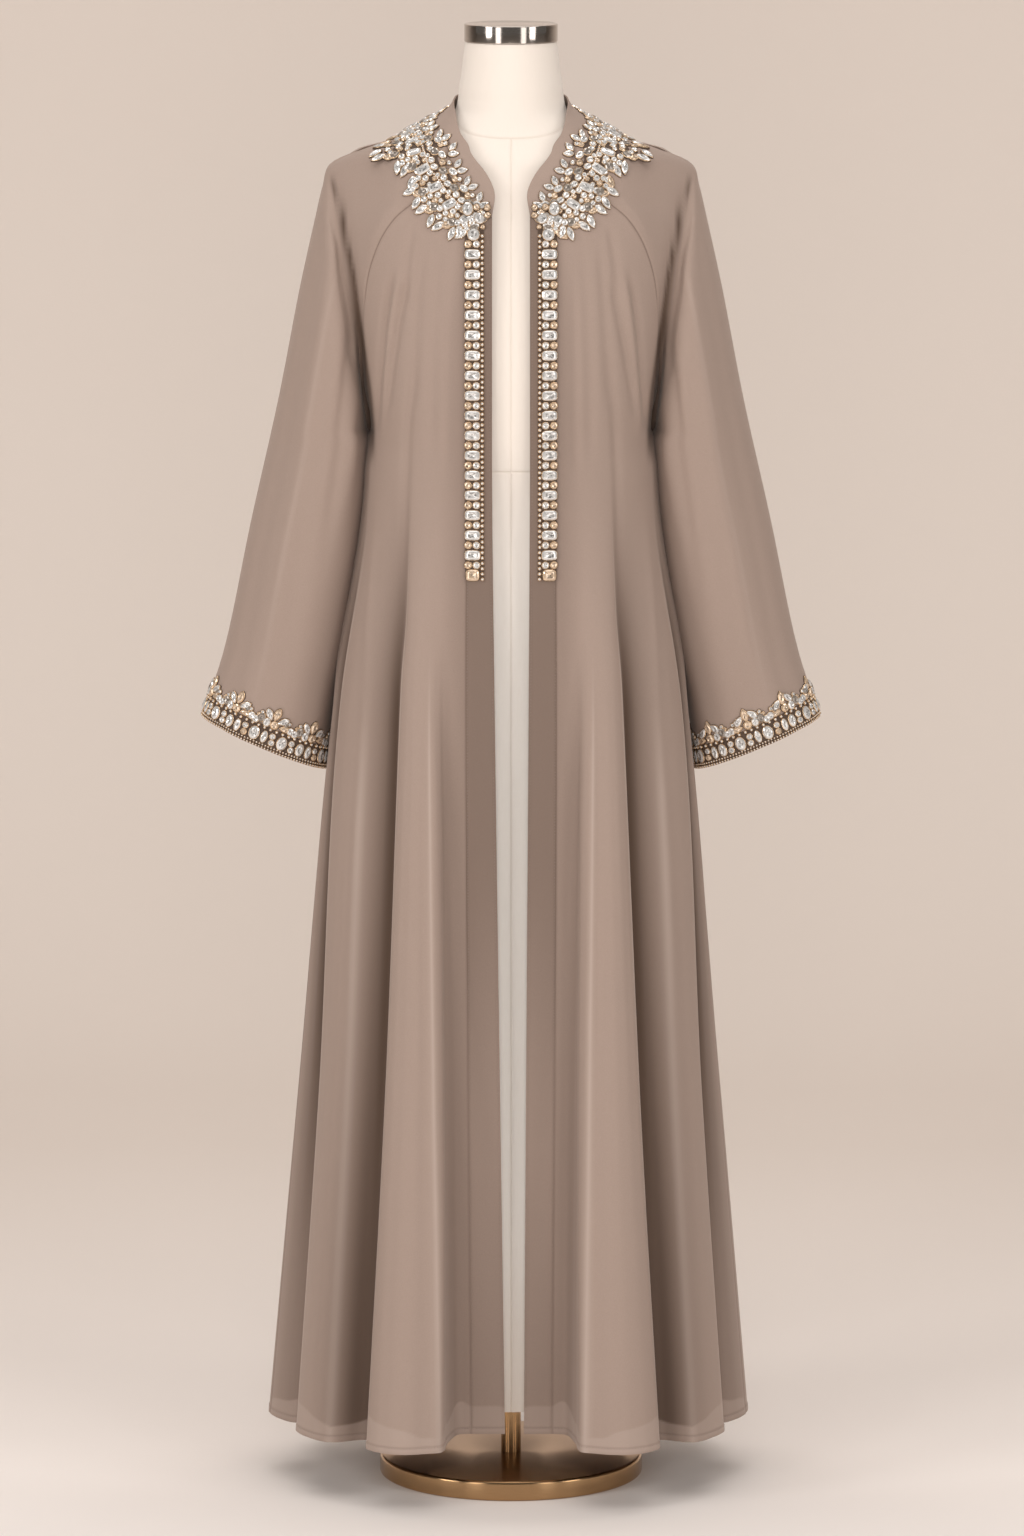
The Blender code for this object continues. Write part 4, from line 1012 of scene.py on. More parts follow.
def build_back():
    halves = []
    for side in SIDES.values():
        rows, knots, grid = draped(side, SIDE_ROW, CENTRE_ROW, 7, True)
        halves.append(grid)
        shades = fold_painted_shade_and_highlight(grid, np.zeros(grid.shape), rows, BACK_PAINTED_SHADES, BACK_PAINTED_HIGHLIGHTS)
    left, right = halves
    left[-1] = (left[-1] + right[-1]) / 2
    grid = np.concatenate([left, right[::-1][1:]])
    knots = np.concatenate([knots, 2 * knots[-1] - knots[::-1][1:]])
    seams = (top_distance(grid), edge_distance(grid, 0), edge_distance(grid, -1))
    grid, normals = sewn(grid, seams)
    tone = cloth_tone(grid, seams)
    tone[..., 1:] = np.concatenate([shades, shades[::-1][1:]])[..., 1:]
    nodes = [f"back_{side_name}_{part}" for side_name in SIDES for part in BACK_PARTS]
    body_piece("back", "back_panel", grid, normals, tone, knots, SHELL, "back_centre", *nodes)


def strip_between(low, high, across, count):
    rows = smooth_through(NECK_KNOTS, low, across)
    ends = smooth_through(NECK_KNOTS, high, across)
    share = np.linspace(0, 1, count)[None, :, None]
    return rows[:, None, :] * (1 - share) + ends[:, None, :] * share


def both_sides(places):
    points = ring_point(TORSO, places[..., 0], places[..., 1])
    left = points * np.array([-1.0, 1.0, 1.0])
    return np.concatenate([left, points[::-1][1:]])


def build_neckband():
    across = np.linspace(0, len(NECK) - 1, 150)
    points = both_sides(strip_between(NECK_SEAM, NECK_EDGE, across, 12))
    normals = turned_to(normals_of(points), (len(points) // 2, 5), (0, 1, 0))
    seam = top_distance(points)
    points = dipped(points, normals, (seam,))
    tone = cloth_tone(points, (seam,))
    finished(shell("neck_facing", points, normals, FACING_SHELL, tone), "chiffon", "neckband")


def sleeve_edge(times=1):
    """The sleeve's columns: the angle round the sleeve and the (z, turn) of its sewn edge."""
    angles = []
    edge = []
    for i in range(NECK_STEPS_AHEAD * times):
        share = i / (NECK_STEPS_AHEAD * times)
        angles.append(NECK_ANGLE * share)
        edge.append(neck_seam(NECK_SHOULDER_ROW + (FRONT_RAGLAN_AT - NECK_SHOULDER_ROW) * share))
    for step in range((BACK_CORNER_ROW - NECK_CORNER_ROW) * times + 1):
        row = NECK_CORNER_ROW + step / times
        place = top_of_column(row)
        top = top_of_column(NECK_CORNER_ROW if row <= SIDE_ROW else BACK_CORNER_ROW)
        reach = (top[0] - UNDERARM_Z) / (1 + math.cos(NECK_ANGLE))
        angle = math.acos(np.clip((place[0] - UNDERARM_Z) / reach - 1, -1, 1))
        angles.append(angle if row <= SIDE_ROW else 2 * math.pi - angle)
        edge.append(place)
    for i in range(NECK_STEPS_BEHIND * times - 1, 0, -1):
        share = i / (NECK_STEPS_BEHIND * times)
        angles.append(2 * math.pi - NECK_ANGLE * share)
        edge.append(neck_seam(NECK_SHOULDER_ROW + (BACK_RAGLAN_AT - NECK_SHOULDER_ROW) * share))
    return np.array(angles), np.array(edge)


def shoulder_end(angle):
    ahead = angle <= math.pi
    bent = angle if ahead else 2 * math.pi - angle
    z = UNDERARM_Z + (SHOULDER_Z - UNDERARM_Z) * (1 + math.cos(bent)) / 2
    line = FRONT_SEAM if ahead else BACK_SEAM
    seam_z, seam_turn = seam_at_height(line, min(z, line[0, 0]))
    seam_x = ring_point(TORSO, seam_z, seam_turn)[0]
    reach = SHOULDER_REACH * math.exp(-((bent / SHOULDER_SPREAD) ** 2)) + RAGLAN_STRIP
    half = ring_sizes(TORSO, z)[0]
    return z, float(turn_at(z, min(seam_x + reach, half), not ahead))


def sleeve_grid(side, along_rows, times):
    """Outer points of a sleeve, as columns from its sewn edge, at -1, to the cuff."""
    angles, edge = sleeve_edge(times)
    flat = np.array([shoulder_end(angle) for angle in angles])
    table = np.array(SLEEVE)
    cosine = np.cos(angles)[:, None]
    sine = np.sin(angles)[:, None]
    rings = np.empty((len(angles), len(SLEEVE), 3))
    rings[..., 0] = (table[:, 0] * (1 + cosine) + table[:, 2] * (1 - cosine)) / 2
    rings[..., 2] = (table[:, 1] * (1 + cosine) + table[:, 3] * (1 - cosine)) / 2
    rings[..., 1] = table[:, 4] - sine * table[:, 5]
    bent = np.minimum(angles, 2 * np.pi - angles)
    lift = UNDERARM_LIFT * ease((bent - 2.0) / 1.1)
    away = np.stack([np.sin(flat[:, 1]), -np.cos(flat[:, 1]), 0 * bent], axis=1)
    away *= lift[:, None]
    halfway = ring_point(TORSO, *((edge + flat) / 2).T) + away / 2
    leaving = ring_point(TORSO, *flat.T) + away
    stations = np.concatenate([halfway[:, None], leaving[:, None], rings], axis=1)
    columns = []
    for i, keys in enumerate(stations):
        knots = running(np.sqrt(np.linalg.norm(np.diff(keys, axis=0), axis=1)))
        lofted = smooth_through(knots, keys, np.interp(along_rows, np.arange(len(knots)) - 1, knots))
        share = along_rows + 1
        on_torso = share < 1
        blend = edge[i] + (flat[i] - edge[i]) * share[on_torso, None]
        lofted[on_torso] = ring_point(TORSO, *blend.T) + away[i] * share[on_torso, None]
        columns.append(lofted)
    grid = np.array(columns)
    grid[..., 0] *= side
    return angles, grid


# Creases down the sleeve: row from, row to, angle from, angle to (degrees), half width, height.
SLEEVE_CREASES = (
    (0.6, 7.4, 62.0, 76.0, 9.0, 0.0022),
    (0.4, 6.0, 108.0, 112.0, 9.0, -0.0035),
    (0.8, 5.0, 132.0, 128.0, 8.0, 0.0026),
    (2.0, 8.0, 40.0, 48.0, 10.0, -0.0018),
    (3.0, 8.0, 92.0, 88.0, 12.0, -0.0014),
    (4.0, 8.0, 145.0, 140.0, 12.0, 0.0018),
    (0.6, 6.5, 250.0, 258.0, 10.0, -0.0030),
    (1.5, 8.0, 292.0, 300.0, 11.0, 0.0024),
    (2.5, 8.0, 225.0, 232.0, 12.0, 0.0020),
)
SLEEVES = {}

# The trough where the arm folds against the chest, (z, x) down it.
ARM_TROUGH = (
    (1.432, 0.1925), (1.402, 0.1840), (1.369, 0.1770), (1.340, 0.1708), (1.306, 0.1663),
    (1.269, 0.1614), (1.235, 0.1566), (1.202, 0.1525), (1.168, 0.1505), (1.060, 0.1500),
)


def arm_trough(grid, side, narrow, wide):
    """How deep places on the front lie in the trough, from 0 to 1. It widens on its way down."""
    z, x = grid[..., 2], grid[..., 0] * side
    points = np.array(ARM_TROUGH)[::-1]
    middle = smooth_through(points[:, 0], points[:, 1], z)
    share = np.clip((1.432 - z) / 0.25, 0, 1)
    width = np.where(x > middle, narrow + (wide - narrow) * share, narrow)
    fade = ease((1.446 - z) / 0.03) * ease((z - 1.120) / 0.045) * (grid[..., 1] < 0.012)
    return fade * np.exp(-((x - middle) / width) ** 2)


def sleeve_normals(grid, side):
    return turned_to(normals_of(grid, ring=True), (0, -3), (side, 0, 0))


def build_sleeves():
    rows = [np.linspace(-1.0, 0.0, 15)[:-1], np.linspace(0.0, 1.0, 9)[:-1]]
    rows = np.concatenate([*rows, np.linspace(1.0, len(SLEEVE), 84)])
    for side_name, side in SIDES.items():
        angles, grid = sleeve_grid(side, rows, 5)
        normals = sleeve_normals(grid, side)
        turns = np.degrees(angles)[:, None]
        height = np.zeros(grid.shape[:2])
        for start, end, first, last, width, size in SLEEVE_CREASES:
            share = np.clip((rows - start) / (end - start), 0, 1)[None, :]
            middle = first + (last - first) * share + side * 2.5
            fade = ease((rows - start) / 1.2)[None, :]
            if end < len(SLEEVE):
                fade = fade * ease((end - rows) / 1.6)[None, :]
            height += size * fade * np.exp(-((turns - middle) / width) ** 2)
        on_arm = ease((rows - 0.2) / 1.0)[None, :, None]
        grid = grid + normals * height[..., None] * on_arm
        grid = grid - normals * (TROUGH_DEPTH * arm_trough(grid, side, *TROUGH_DENT))[..., None]
        z = grid[..., 2]
        reach_in = SLEEVE_REACH_IN * ease((LEAN_TOP_Z - z) / 0.009) * ease((z - LEAN_END_Z) / 0.10)
        grid[..., 0] -= side * reach_in * (1 - np.cos(np.radians(turns))) / 2
        normals = sleeve_normals(grid, side)
        seam = top_distance(grid)
        grid = dipped(grid, normals, (seam,))
        tone = cloth_tone(grid, (seam,))
        # Painted shade on the sleeve's inner side, which turns away towards the body, and in the arm
        # trough.
        inner_painted_shade = 0.92 * np.exp(-((turns - 180) / 31) ** 2) * on_arm[..., 0]
        tone[..., 2] = np.maximum(inner_painted_shade, TROUGH_PAINTED_SHADE * arm_trough(grid, side, *TROUGH_SHADE))
        # Painted highlight along the ridge down the front of the sleeve.
        fade = ease((rows - 1.0) / 1.5) * ease((8.0 - rows) / 2.0)
        tone[..., 1] = 0.22 * np.exp(-((turns - 70) / 2.4) ** 2) * fade
        piece = shell(f"sleeve_cloth_{side_name}", grid, normals, SHELL, tone, ring=True)
        finished(piece, "chiffon", f"sleeve_{side_name}")
        SLEEVES[side_name] = (angles, grid, normals)


build_fronts()
build_front_bands()
build_back()
build_neckband()
build_sleeves()


# ---- stitches
STITCH = 0.0024             # length of one stitch
STITCH_PITCH = 0.0034
THREAD = 0.00026            # half thickness of the thread
BAND_EDGE_STITCH = 0.0022   # from the band's free edge
BAND_SEAM_STITCH = 0.0018   # from the band's seam
HEM_STITCH_Z = HEM_Z + HEM_TURN - 0.0012


def thread_material():
    g = Graph("thread")
    tone = g.noise(g.places(), 400.0, 1.0)
    g.feed(Base_Color=g.ramp(tone, CLOTH_SEAM, STITCH_COLOR))
    g.fixed(Roughness=0.7, Sheen_Weight=0.2)
    return g.material


def stitched(path, normals):
    """Points and faces of small raised stitches along a path on the cloth."""
    run = run_of(path)
    middles = np.arange(STITCH_PITCH, run[-1] - STITCH_PITCH, STITCH_PITCH)

    def at(values, where):
        return np.stack([np.interp(where, run, column) for column in values.T], axis=-1)

    lift = unit(at(normals, middles))
    centre = at(path, middles) + lift * THREAD * 0.6
    start = at(path, middles - STITCH / 2) - lift * THREAD * 0.2
    end = at(path, middles + STITCH / 2) - lift * THREAD * 0.2
    across = unit(np.cross(lift, end - start)) * THREAD
    points = np.stack([start, centre + across, centre + lift * THREAD, centre - across, end], axis=1)
    faces = np.array([(0, 1, 2), (0, 2, 3), (4, 2, 1), (4, 3, 2), (0, 3, 1), (4, 1, 3)])
    faces = faces[None] + 5 * np.arange(len(middles))[:, None, None]
    return points.reshape(-1, 3), faces.reshape(-1, 3)


def across_grid(grid, normals, distance):
    """Path down a grid at a distance from its first column, and the normals there."""
    run = top_distance(np.swapaxes(grid, 0, 1))
    both = np.swapaxes(np.concatenate([grid, normals], axis=2), 0, 1)
    rows = [[np.interp(distance, at, line[:, k]) for k in range(6)] for at, line in zip(run, both)]
    return np.split(np.array(rows), 2, axis=1)


def hem_path(grid, normals, height):
    """Path across a grid at a height above the hem, and the normals there."""
    both = np.concatenate([grid, normals], axis=2)
    rows = [[np.interp(height, line[::-1, 2], line[::-1, k]) for k in range(6)] for line in both]
    return np.split(np.array(rows), 2, axis=1)


def build_stitches():
    thread = thread_material()
    for name, (grid, normals) in BODY.items():
        paths = [hem_path(grid, normals, HEM_STITCH_Z)]
        if name.startswith("band"):
            paths.append(across_grid(grid, normals, BAND_EDGE_STITCH))
            paths.append(across_grid(grid[::-1], normals[::-1], BAND_SEAM_STITCH))
        points = np.empty((0, 3))
        faces = np.empty((0, 3), int)
        for path, lean in paths:
            some, corners = stitched(path, lean)
            faces = np.concatenate([faces, corners + len(points)])
            points = np.concatenate([points, some])
        finished(solid(f"stitches_{name}", points, faces, thread, smooth=False), "chiffon")


build_stitches()

# ---- stones
CLEAR = (0.80, 0.785, 0.765)
CHAMPAGNE = (0.76, 0.56, 0.38)
SMOKY = (0.27, 0.225, 0.185)
GLASS = 0
GOLD = 1
BACKING_AND_SHADE = 2
ONE_MM = 0.001
STONE_LIFT = 0.0007
BACKING_LIFT = 0.0006
BACKING_DEPTH = 0.0016
MID_TONE = 0.5
CHANCE = np.random.default_rng(7)


def stone_material():
    """Foil-backed faceted glass: each facet has its own painted reflection tone, under a hard clear
    gloss.
    """
    g = Graph("stones")
    node = g.add("ShaderNodeAttribute", attribute_name="tone")
    fleck = g.noise(g.places(), 700.0, 1.0)
    color = g.mix(g.spread(fleck, 0.0, 0.25), node.outputs["Color"], (0.55, 0.50, 0.46))
    g.feed(Base_Color=color)
    g.fixed(Metallic=0.45, Specular_IOR_Level=0.8, Coat_Weight=1.0, Coat_Roughness=0.03)
    g.feed(Roughness=g.spread(fleck, 0.05, 0.16))
    return g.material


def gold_material():
    g = Graph("setting_gold")
    wear = g.noise(g.places(), 500.0, 2.0)
    color = g.ramp(wear, (0.56, 0.37, 0.21), (0.80, 0.60, 0.40))
    g.feed(Base_Color=color)
    g.fixed(Metallic=0.75)
    g.feed(Roughness=g.spread(wear, 0.18, 0.34))
    return g.material


# Dark backing under the stones: partly a real backing, partly painted shade between and round them.
def backing_and_shade_material():
    g = Graph("stone_backing")
    grain = g.noise(g.places(), 900.0, 2.0)
    color = g.ramp(grain, (0.050, 0.030, 0.020), (0.105, 0.068, 0.048))
    g.feed(Base_Color=color)
    g.fixed(Roughness=0.7, Metallic=0.0)
    g.feed(Normal=g.bump(grain, 0.3, 0.0003))
    return g.material


STONE_MATERIALS = (stone_material(), gold_material(), backing_and_shade_material())


def outline(kind, count):
    """Unit outline of a stone, with its length along x."""
    turn = (np.arange(count) + (0.5 if kind == "cushion" else 0.0)) * 2 * np.pi / count
    x, y = np.cos(turn), np.sin(turn)
    if kind == "cushion":
        x, y = signed_power(x, 0.55), signed_power(y, 0.55)
    elif kind == "petal":
        y = y * np.abs(y) ** 0.55 * (1 + 0.18 * x)
    elif kind == "lozenge":
        x, y = signed_power(x, 1.3), signed_power(y, 1.3)
    return np.stack([x, y], axis=1) / 2


CORNERS = {"round": 10, "oval": 14, "cushion": 16, "petal": 14, "lozenge": 8}
OUTLINES = {kind: outline(kind, count) for kind, count in CORNERS.items()}


class Trim:
    """One stone-set trim, gathered as a single mesh with three materials."""

    def __init__(self):
        self.points = []
        self.faces = []
        self.tones = []
        self.slots = []
        self.smooth = []
        self.count = 0

    def add(self, faces, tones, slot, smooth):
        self.faces.append(faces)
        self.tones.append(tones)
        self.slots.append(np.full(len(faces), slot))
        self.smooth.append(np.full(len(faces), smooth))

    def put(self, rings, tones, slots, smooth, tip=None):
        """Joins equal rings of points in order, and closes the last one on a tip."""
        size = len(rings[0])
        start = self.count
        self.points += [np.asarray(ring) for ring in rings]
        self.count += size * len(rings)
        k = np.arange(size)
        after = (k + 1) % size
        for level in range(len(rings) - 1):
            low = start + level * size
            high = low + size
            pairs = np.stack([
                np.stack([low + k, low + after, high + after], axis=1),
                np.stack([low + k, high + after, high + k], axis=1),
            ], axis=1)
            tone = np.repeat(tones[level], 2, axis=0)
            self.add(pairs.reshape(-1, 3), tone, slots[level], smooth[level])
        if tip is not None:
            low = start + (len(rings) - 1) * size
            self.points.append(np.asarray(tip)[None])
            closing = np.stack([low + k, low + after, np.full(size, self.count)], axis=1)
            self.count += 1
            self.add(closing, tones[-1], slots[-1], smooth[-1])

    def stone(self, place, kind, length, width, angle, look, lift=STONE_LIFT):
        """A faceted stone in a gold rim on a dark plate, which is partly a backing and partly painted
        shadow round the stone. Sizes are in millimetres.
        """
        point, normal, along = place
        across = np.cross(normal, along)
        turned_along = along * math.cos(angle) + across * math.sin(angle)
        turned_across = np.cross(normal, turned_along)
        shape = OUTLINES[kind]
        size = len(shape)
        flat = shape * np.array([length, width]) * ONE_MM
        away = unit(flat)
        height = (1.6 + 0.13 * min(length, width)) * (ONE_MM * CHANCE.uniform(0.93, 1.07))
        base = point + normal * lift

        def ring(scale, offset, up):
            at = flat * scale + away * offset * ONE_MM
            return base + at[:, :1] * turned_along + at[:, 1:] * turned_across + normal * up

        plate = [ring(1, 0.85, -0.0012), ring(1, 0.80, 0.0003)]
        rim = [(0.42, 0.0004), (0.38, 0.45 * height), (-0.10, 0.55 * height), (-0.12, 0.50 * height)]
        facets = [(0.74, 0.90), (0.56, 1.00), (0.30, 0.86)]
        rings = plate + [ring(1, offset, up) for offset, up in rim]
        rings += [ring(scale, 0.0, up * height) for scale, up in facets]
        tip = base + normal * 0.74 * height
        color = np.array(look)
        plain = np.ones((size, 3)) * MID_TONE
        # The facets' tones are painted reflections: each facet is darkened or lightened at random, so
        # the stone seems to sparkle.
        crown = np.clip(color * CHANCE.uniform(0.72, 1.06, (size, 1)), 0, 1)
        table = np.clip(color * CHANCE.uniform(0.85, 1.08, (size, 1)), 0, 1)
        deep_painted_dark = np.clip(color * CHANCE.choice([0.30, 0.62, 1.0, 1.0], (size, 1)), 0, 1)
        core = np.clip(color * CHANCE.choice([0.25, 0.7, 1.0], (size, 1)), 0, 1)
        if kind == "lozenge":
            deep_painted_dark = table
        tones = [plain] * 5 + [crown, table, deep_painted_dark, core]
        slots = [BACKING_AND_SHADE] * 2 + [GOLD] * 3 + [GLASS] * 4
        smooth = [False] * 2 + [True] * 3 + [False] * 4
        self.put(rings, tones, slots, smooth, tip)

    def bead(self, place, size, slot):
        point, normal, along = place
        across = np.cross(normal, along)
        turn = np.arange(8) * np.pi / 4
        circle = np.cos(turn)[:, None] * along + np.sin(turn)[:, None] * across
        radius = size / 2 * ONE_MM
        base = point + normal * STONE_LIFT
        rings = []
        for share, up in ((0.95, -0.4), (1.0, 0.35), (0.78, 0.95)):
            rings.append(base + circle * radius * share + normal * radius * up)
        tone = np.ones((8, 3)) * np.array(CLEAR)
        self.put(rings, [tone] * 3, [slot] * 3, [True] * 3, base + normal * radius * 1.3)

    def set_bead(self, place, size):
        """A small clear stone in a gold cup, seen as a bead."""
        self.bead(place, size, GOLD)
        point, normal, along = place
        self.bead((point + normal * size * 0.30 * ONE_MM, normal, along), size * 0.62, GLASS)

    def sheet(self, spots):
        """A thin dark backing strip over a grid of places, closed at its sides; it is partly a real
        backing and partly painted shade between the stones.
        """
        grid = np.array([[spot[0] for spot in line] for line in spots])
        normals = np.array([[spot[1] for spot in line] for line in spots])
        columns, rows = grid.shape[:2]
        top = grid + normals * BACKING_LIFT
        low = grid + normals * (BACKING_LIFT - BACKING_DEPTH)
        edges = [np.concatenate([g[:, 0], g[-1, 1:], g[-2::-1, -1], g[0, -2:0:-1]]) for g in (low, top)]
        self.put(edges, [np.ones((len(edges[0]), 3)) * MID_TONE], [BACKING_AND_SHADE], [False])
        start = self.count
        self.points.append(top.reshape(-1, 3))
        self.count += columns * rows
        cells = start + grid_faces(columns, rows)
        halves = np.concatenate([cells[:, [0, 1, 2]], cells[:, [0, 2, 3]]])
        self.add(halves, np.ones((len(halves), 3)) * MID_TONE, BACKING_AND_SHADE, True)

    def finish(self, name, node):
        faces = np.concatenate(self.faces).astype(np.int32)
        mesh = face_mesh(name, np.concatenate(self.points), faces)
        mesh.polygons.foreach_set("material_index", np.concatenate(self.slots).astype(np.int32))
        mesh.polygons.foreach_set("use_smooth", np.concatenate(self.smooth))
        mesh.update(calc_edges=True)
        layer = mesh.color_attributes.new("tone", "FLOAT_COLOR", "CORNER")
        tones = np.ones((len(faces), 3, 4), np.float32)
        tones[..., :3] = np.concatenate(self.tones)[:, None, :]
        layer.data.foreach_set("color", tones.ravel())
        thing = link(name, mesh)
        for material in STONE_MATERIALS:
            mesh.materials.append(material)
        return finished(thing, "stones", node)


def on_front(side, x, z):
    """Place on the front's outer face at a height and a distance from the centre line."""
    name = "left" if side < 0 else "right"
    band, band_normals = BODY["band_" + name]
    panel, panel_normals = BODY["front_" + name]
    grid = np.concatenate([band[:-1], panel[:40]])
    normals = np.concatenate([band_normals[:-1], panel_normals[:40]])
    rows = []
    for column, lean in zip(grid, normals):
        found = (*column.T[:2], *lean.T)
        rows.append([np.interp(z, column[::-1, 2], values[::-1]) for values in found])
    rows = np.array(rows)
    order = np.argsort(rows[:, 0] * side)
    found = [np.interp(x, rows[order, 0] * side, rows[order, k]) for k in range(1, 5)]
    normal = unit(np.array(found[1:]))
    along = np.array([side, 0.0, 0.0])
    along = unit(along - normal * np.dot(along, normal))
    return np.array([x * side, found[0], z]), normal, along


BAND_STONE_X = 0.0412
BAND_FIRST_Z = 1.3607
BAND_LAST_Z = 1.0162
BAND_STONES = 17


def build_band_trims():
    for side_name, side in SIDES.items():
        trim = Trim()
        xs = np.linspace(0.0288, 0.0490, 8)
        zs = np.linspace(1.3925, 1.0118, 50)
        trim.sheet([[on_front(side, x, z) for z in zs] for x in xs])
        trim.stone(on_front(side, 0.0399, 1.3815), "round", 13.5, 13.5, 0, CLEAR)
        heights = np.linspace(BAND_FIRST_Z, BAND_LAST_Z, BAND_STONES)
        pitch = heights[0] - heights[1]
        for z in heights:
            size_and_look = (16.6, 10.6, 0, CLEAR) if z > heights[-1] else (14.0, 12.0, 0, CHAMPAGNE)
            trim.stone(on_front(side, BAND_STONE_X, z), "cushion", *size_and_look)
            above = z + pitch / 2
            trim.stone(on_front(side, BAND_STONE_X + 0.0047, above), "round", 7.9, 7.9, 0, CHAMPAGNE)
            trim.stone(on_front(side, BAND_STONE_X - 0.0043, above), "round", 7.9, 7.9, 0, CLEAR)
        for z in np.arange(1.3800, 1.0115, -0.00575):
            trim.set_bead(on_front(side, 0.0306, z), 4.6)
        trim.finish(f"band_stones_{side_name}", f"jewel_band_{side_name}")


def collar_place(side, at, share, along_shift=0.0):
    """Place on the collar, at a row of NECK and a share of its width, shifted along it in metres."""
    def spot(a, b):
        low = smooth_through(NECK_KNOTS, COLLAR_INNER, a)
        high = smooth_through(NECK_KNOTS, COLLAR_OUTER, a)
        return low + (high - low) * b

    def point(a, b):
        place = spot(a, b)
        return ring_point(TORSO, place[0], place[1])

    step = 0.02
    speed = np.linalg.norm(point(at + step, share) - point(at - step, share)) / (2 * step)
    at = at + along_shift / max(speed, 0.008)
    mirror = np.array([side, 1.0, 1.0])
    if at > len(NECK) - 1:
        at = 2 * (len(NECK) - 1) - at
        mirror = np.array([-side, 1.0, 1.0])
    at = max(at, 0.02)
    middle = point(at, share) * mirror
    outward_step = (point(at, share + 0.02) - point(at, share - 0.02)) * mirror
    place = spot(at, share)
    normal = torso_normals(place[None], mirror[0])[0]
    along = unit(outward_step - normal * np.dot(outward_step, normal))
    return middle, normal, along


# One repeat of the collar: kind, share of the width from the neck, millimetres along, length,
# width, degrees from straight outwards, tone.
COLLAR_UNIT = (
    ("petal", 1.04, -4.8, 16.0, 8.0, 180 - 16, CLEAR),
    ("petal", 1.03, 4.8, 16.0, 8.0, 180 + 16, CLEAR),
    ("petal", 0.92, 11.6, 11.5, 6.6, 180 + 58, CHAMPAGNE),
    ("round", 0.86, -1.2, 7.2, 7.2, 0, CLEAR),
    ("round", 0.83, 6.4, 6.0, 6.0, 0, CLEAR),
    ("lozenge", 0.80, 13.4, 12.0, 11.0, 20, SMOKY),
    ("round", 0.74, -6.4, 7.4, 7.4, 0, CLEAR),
    ("round", 0.725, 1.6, 6.6, 6.6, 0, CLEAR),
    ("round", 0.70, 8.2, 6.2, 6.2, 0, CHAMPAGNE),
    ("cushion", 0.56, -2.4, 16.0, 9.6, 14, CLEAR),
    ("round", 0.60, 6.6, 7.2, 7.2, 0, CLEAR),
    ("round", 0.475, 6.4, 6.8, 6.8, 0, CLEAR),
    ("round", 0.62, 13.2, 5.4, 5.4, 0, CLEAR),
    ("round", 0.475, -9.4, 5.0, 5.0, 0, CHAMPAGNE),
    ("round", 0.40, 12.0, 5.4, 5.4, 0, CLEAR),
    ("round", 0.125, 8.6, 5.0, 5.0, 0, CLEAR),
    ("round", 0.34, -4.4, 7.6, 7.6, 0, CLEAR),
    ("oval", 0.34, 4.2, 8.8, 6.8, 60, CLEAR),
    ("lozenge", 0.285, 12.4, 11.5, 9.8, 60, SMOKY),
    ("oval", 0.165, -3.0, 10.5, 7.6, 75, CLEAR),
    ("round", 0.195, 5.0, 6.6, 6.6, 0, CHAMPAGNE),
    ("petal", 0.030, -7.2, 12.0, 7.0, -26, CLEAR),
    ("petal", 0.020, 2.2, 12.0, 7.0, 24, CLEAR),
)
COLLAR_FIRST_UNIT = 0.74
COLLAR_PITCH = 0.0250
COLLAR_PART = 5.33          # row of NECK where the front's collar meets the back's
# The collar's foot above the band: kind, x, z, length, width, degrees, tone.
COLLAR_FOOT = (
    ("oval", 0.0462, 1.4085, 14.5, 11.5, 90, CLEAR),
    ("oval", 0.0338, 1.3985, 12.6, 10.6, 60, CLEAR),
    ("round", 0.0252, 1.4100, 6.4, 6.4, 0, CHAMPAGNE),
    ("round", 0.0250, 1.4020, 6.4, 6.4, 0, CHAMPAGNE),
    ("round", 0.0420, 1.3965, 6.2, 6.2, 0, CLEAR),
    ("round", 0.0368, 1.4105, 6.6, 6.6, 0, CHAMPAGNE),
    ("petal", 0.0548, 1.3835, 14.0, 7.2, 70, CLEAR),
    ("petal", 0.0490, 1.3935, 11.5, 6.4, 60, CLEAR),
    ("round", 0.0300, 1.3895, 4.6, 4.6, 0, CHAMPAGNE),
)


def collar_units():
    """Rows of NECK for the collar's repeats, evenly spaced along it to the centre back."""
    at = np.linspace(0, len(NECK) - 1, 400)
    low = smooth_through(NECK_KNOTS, COLLAR_INNER, at)
    high = smooth_through(NECK_KNOTS, COLLAR_OUTER, at)
    places = low + (high - low) * 0.62
    run = run_of(ring_point(TORSO, *places.T))
    start = np.interp(COLLAR_FIRST_UNIT, at, run)
    count = int(round((run[-1] - start) / COLLAR_PITCH))
    return np.interp(np.linspace(start, run[-1], count + 1), run, at)


def collar_stretch(trim, side, start, end, units, beads):
    """The dark backing (partly painted shade between the stones), the repeats and the line of beads
    along one stretch of the collar.
    """
    shares = np.linspace(0.24, 0.80, 12)
    rows = np.linspace(start, end, 90)
    trim.sheet([[collar_place(side, at, share) for share in shares] for at in rows])
    for at in units:
        collar_unit(trim, side, at)
    for at in beads:
        trim.set_bead(collar_place(side, at, 0.435), 3.4)


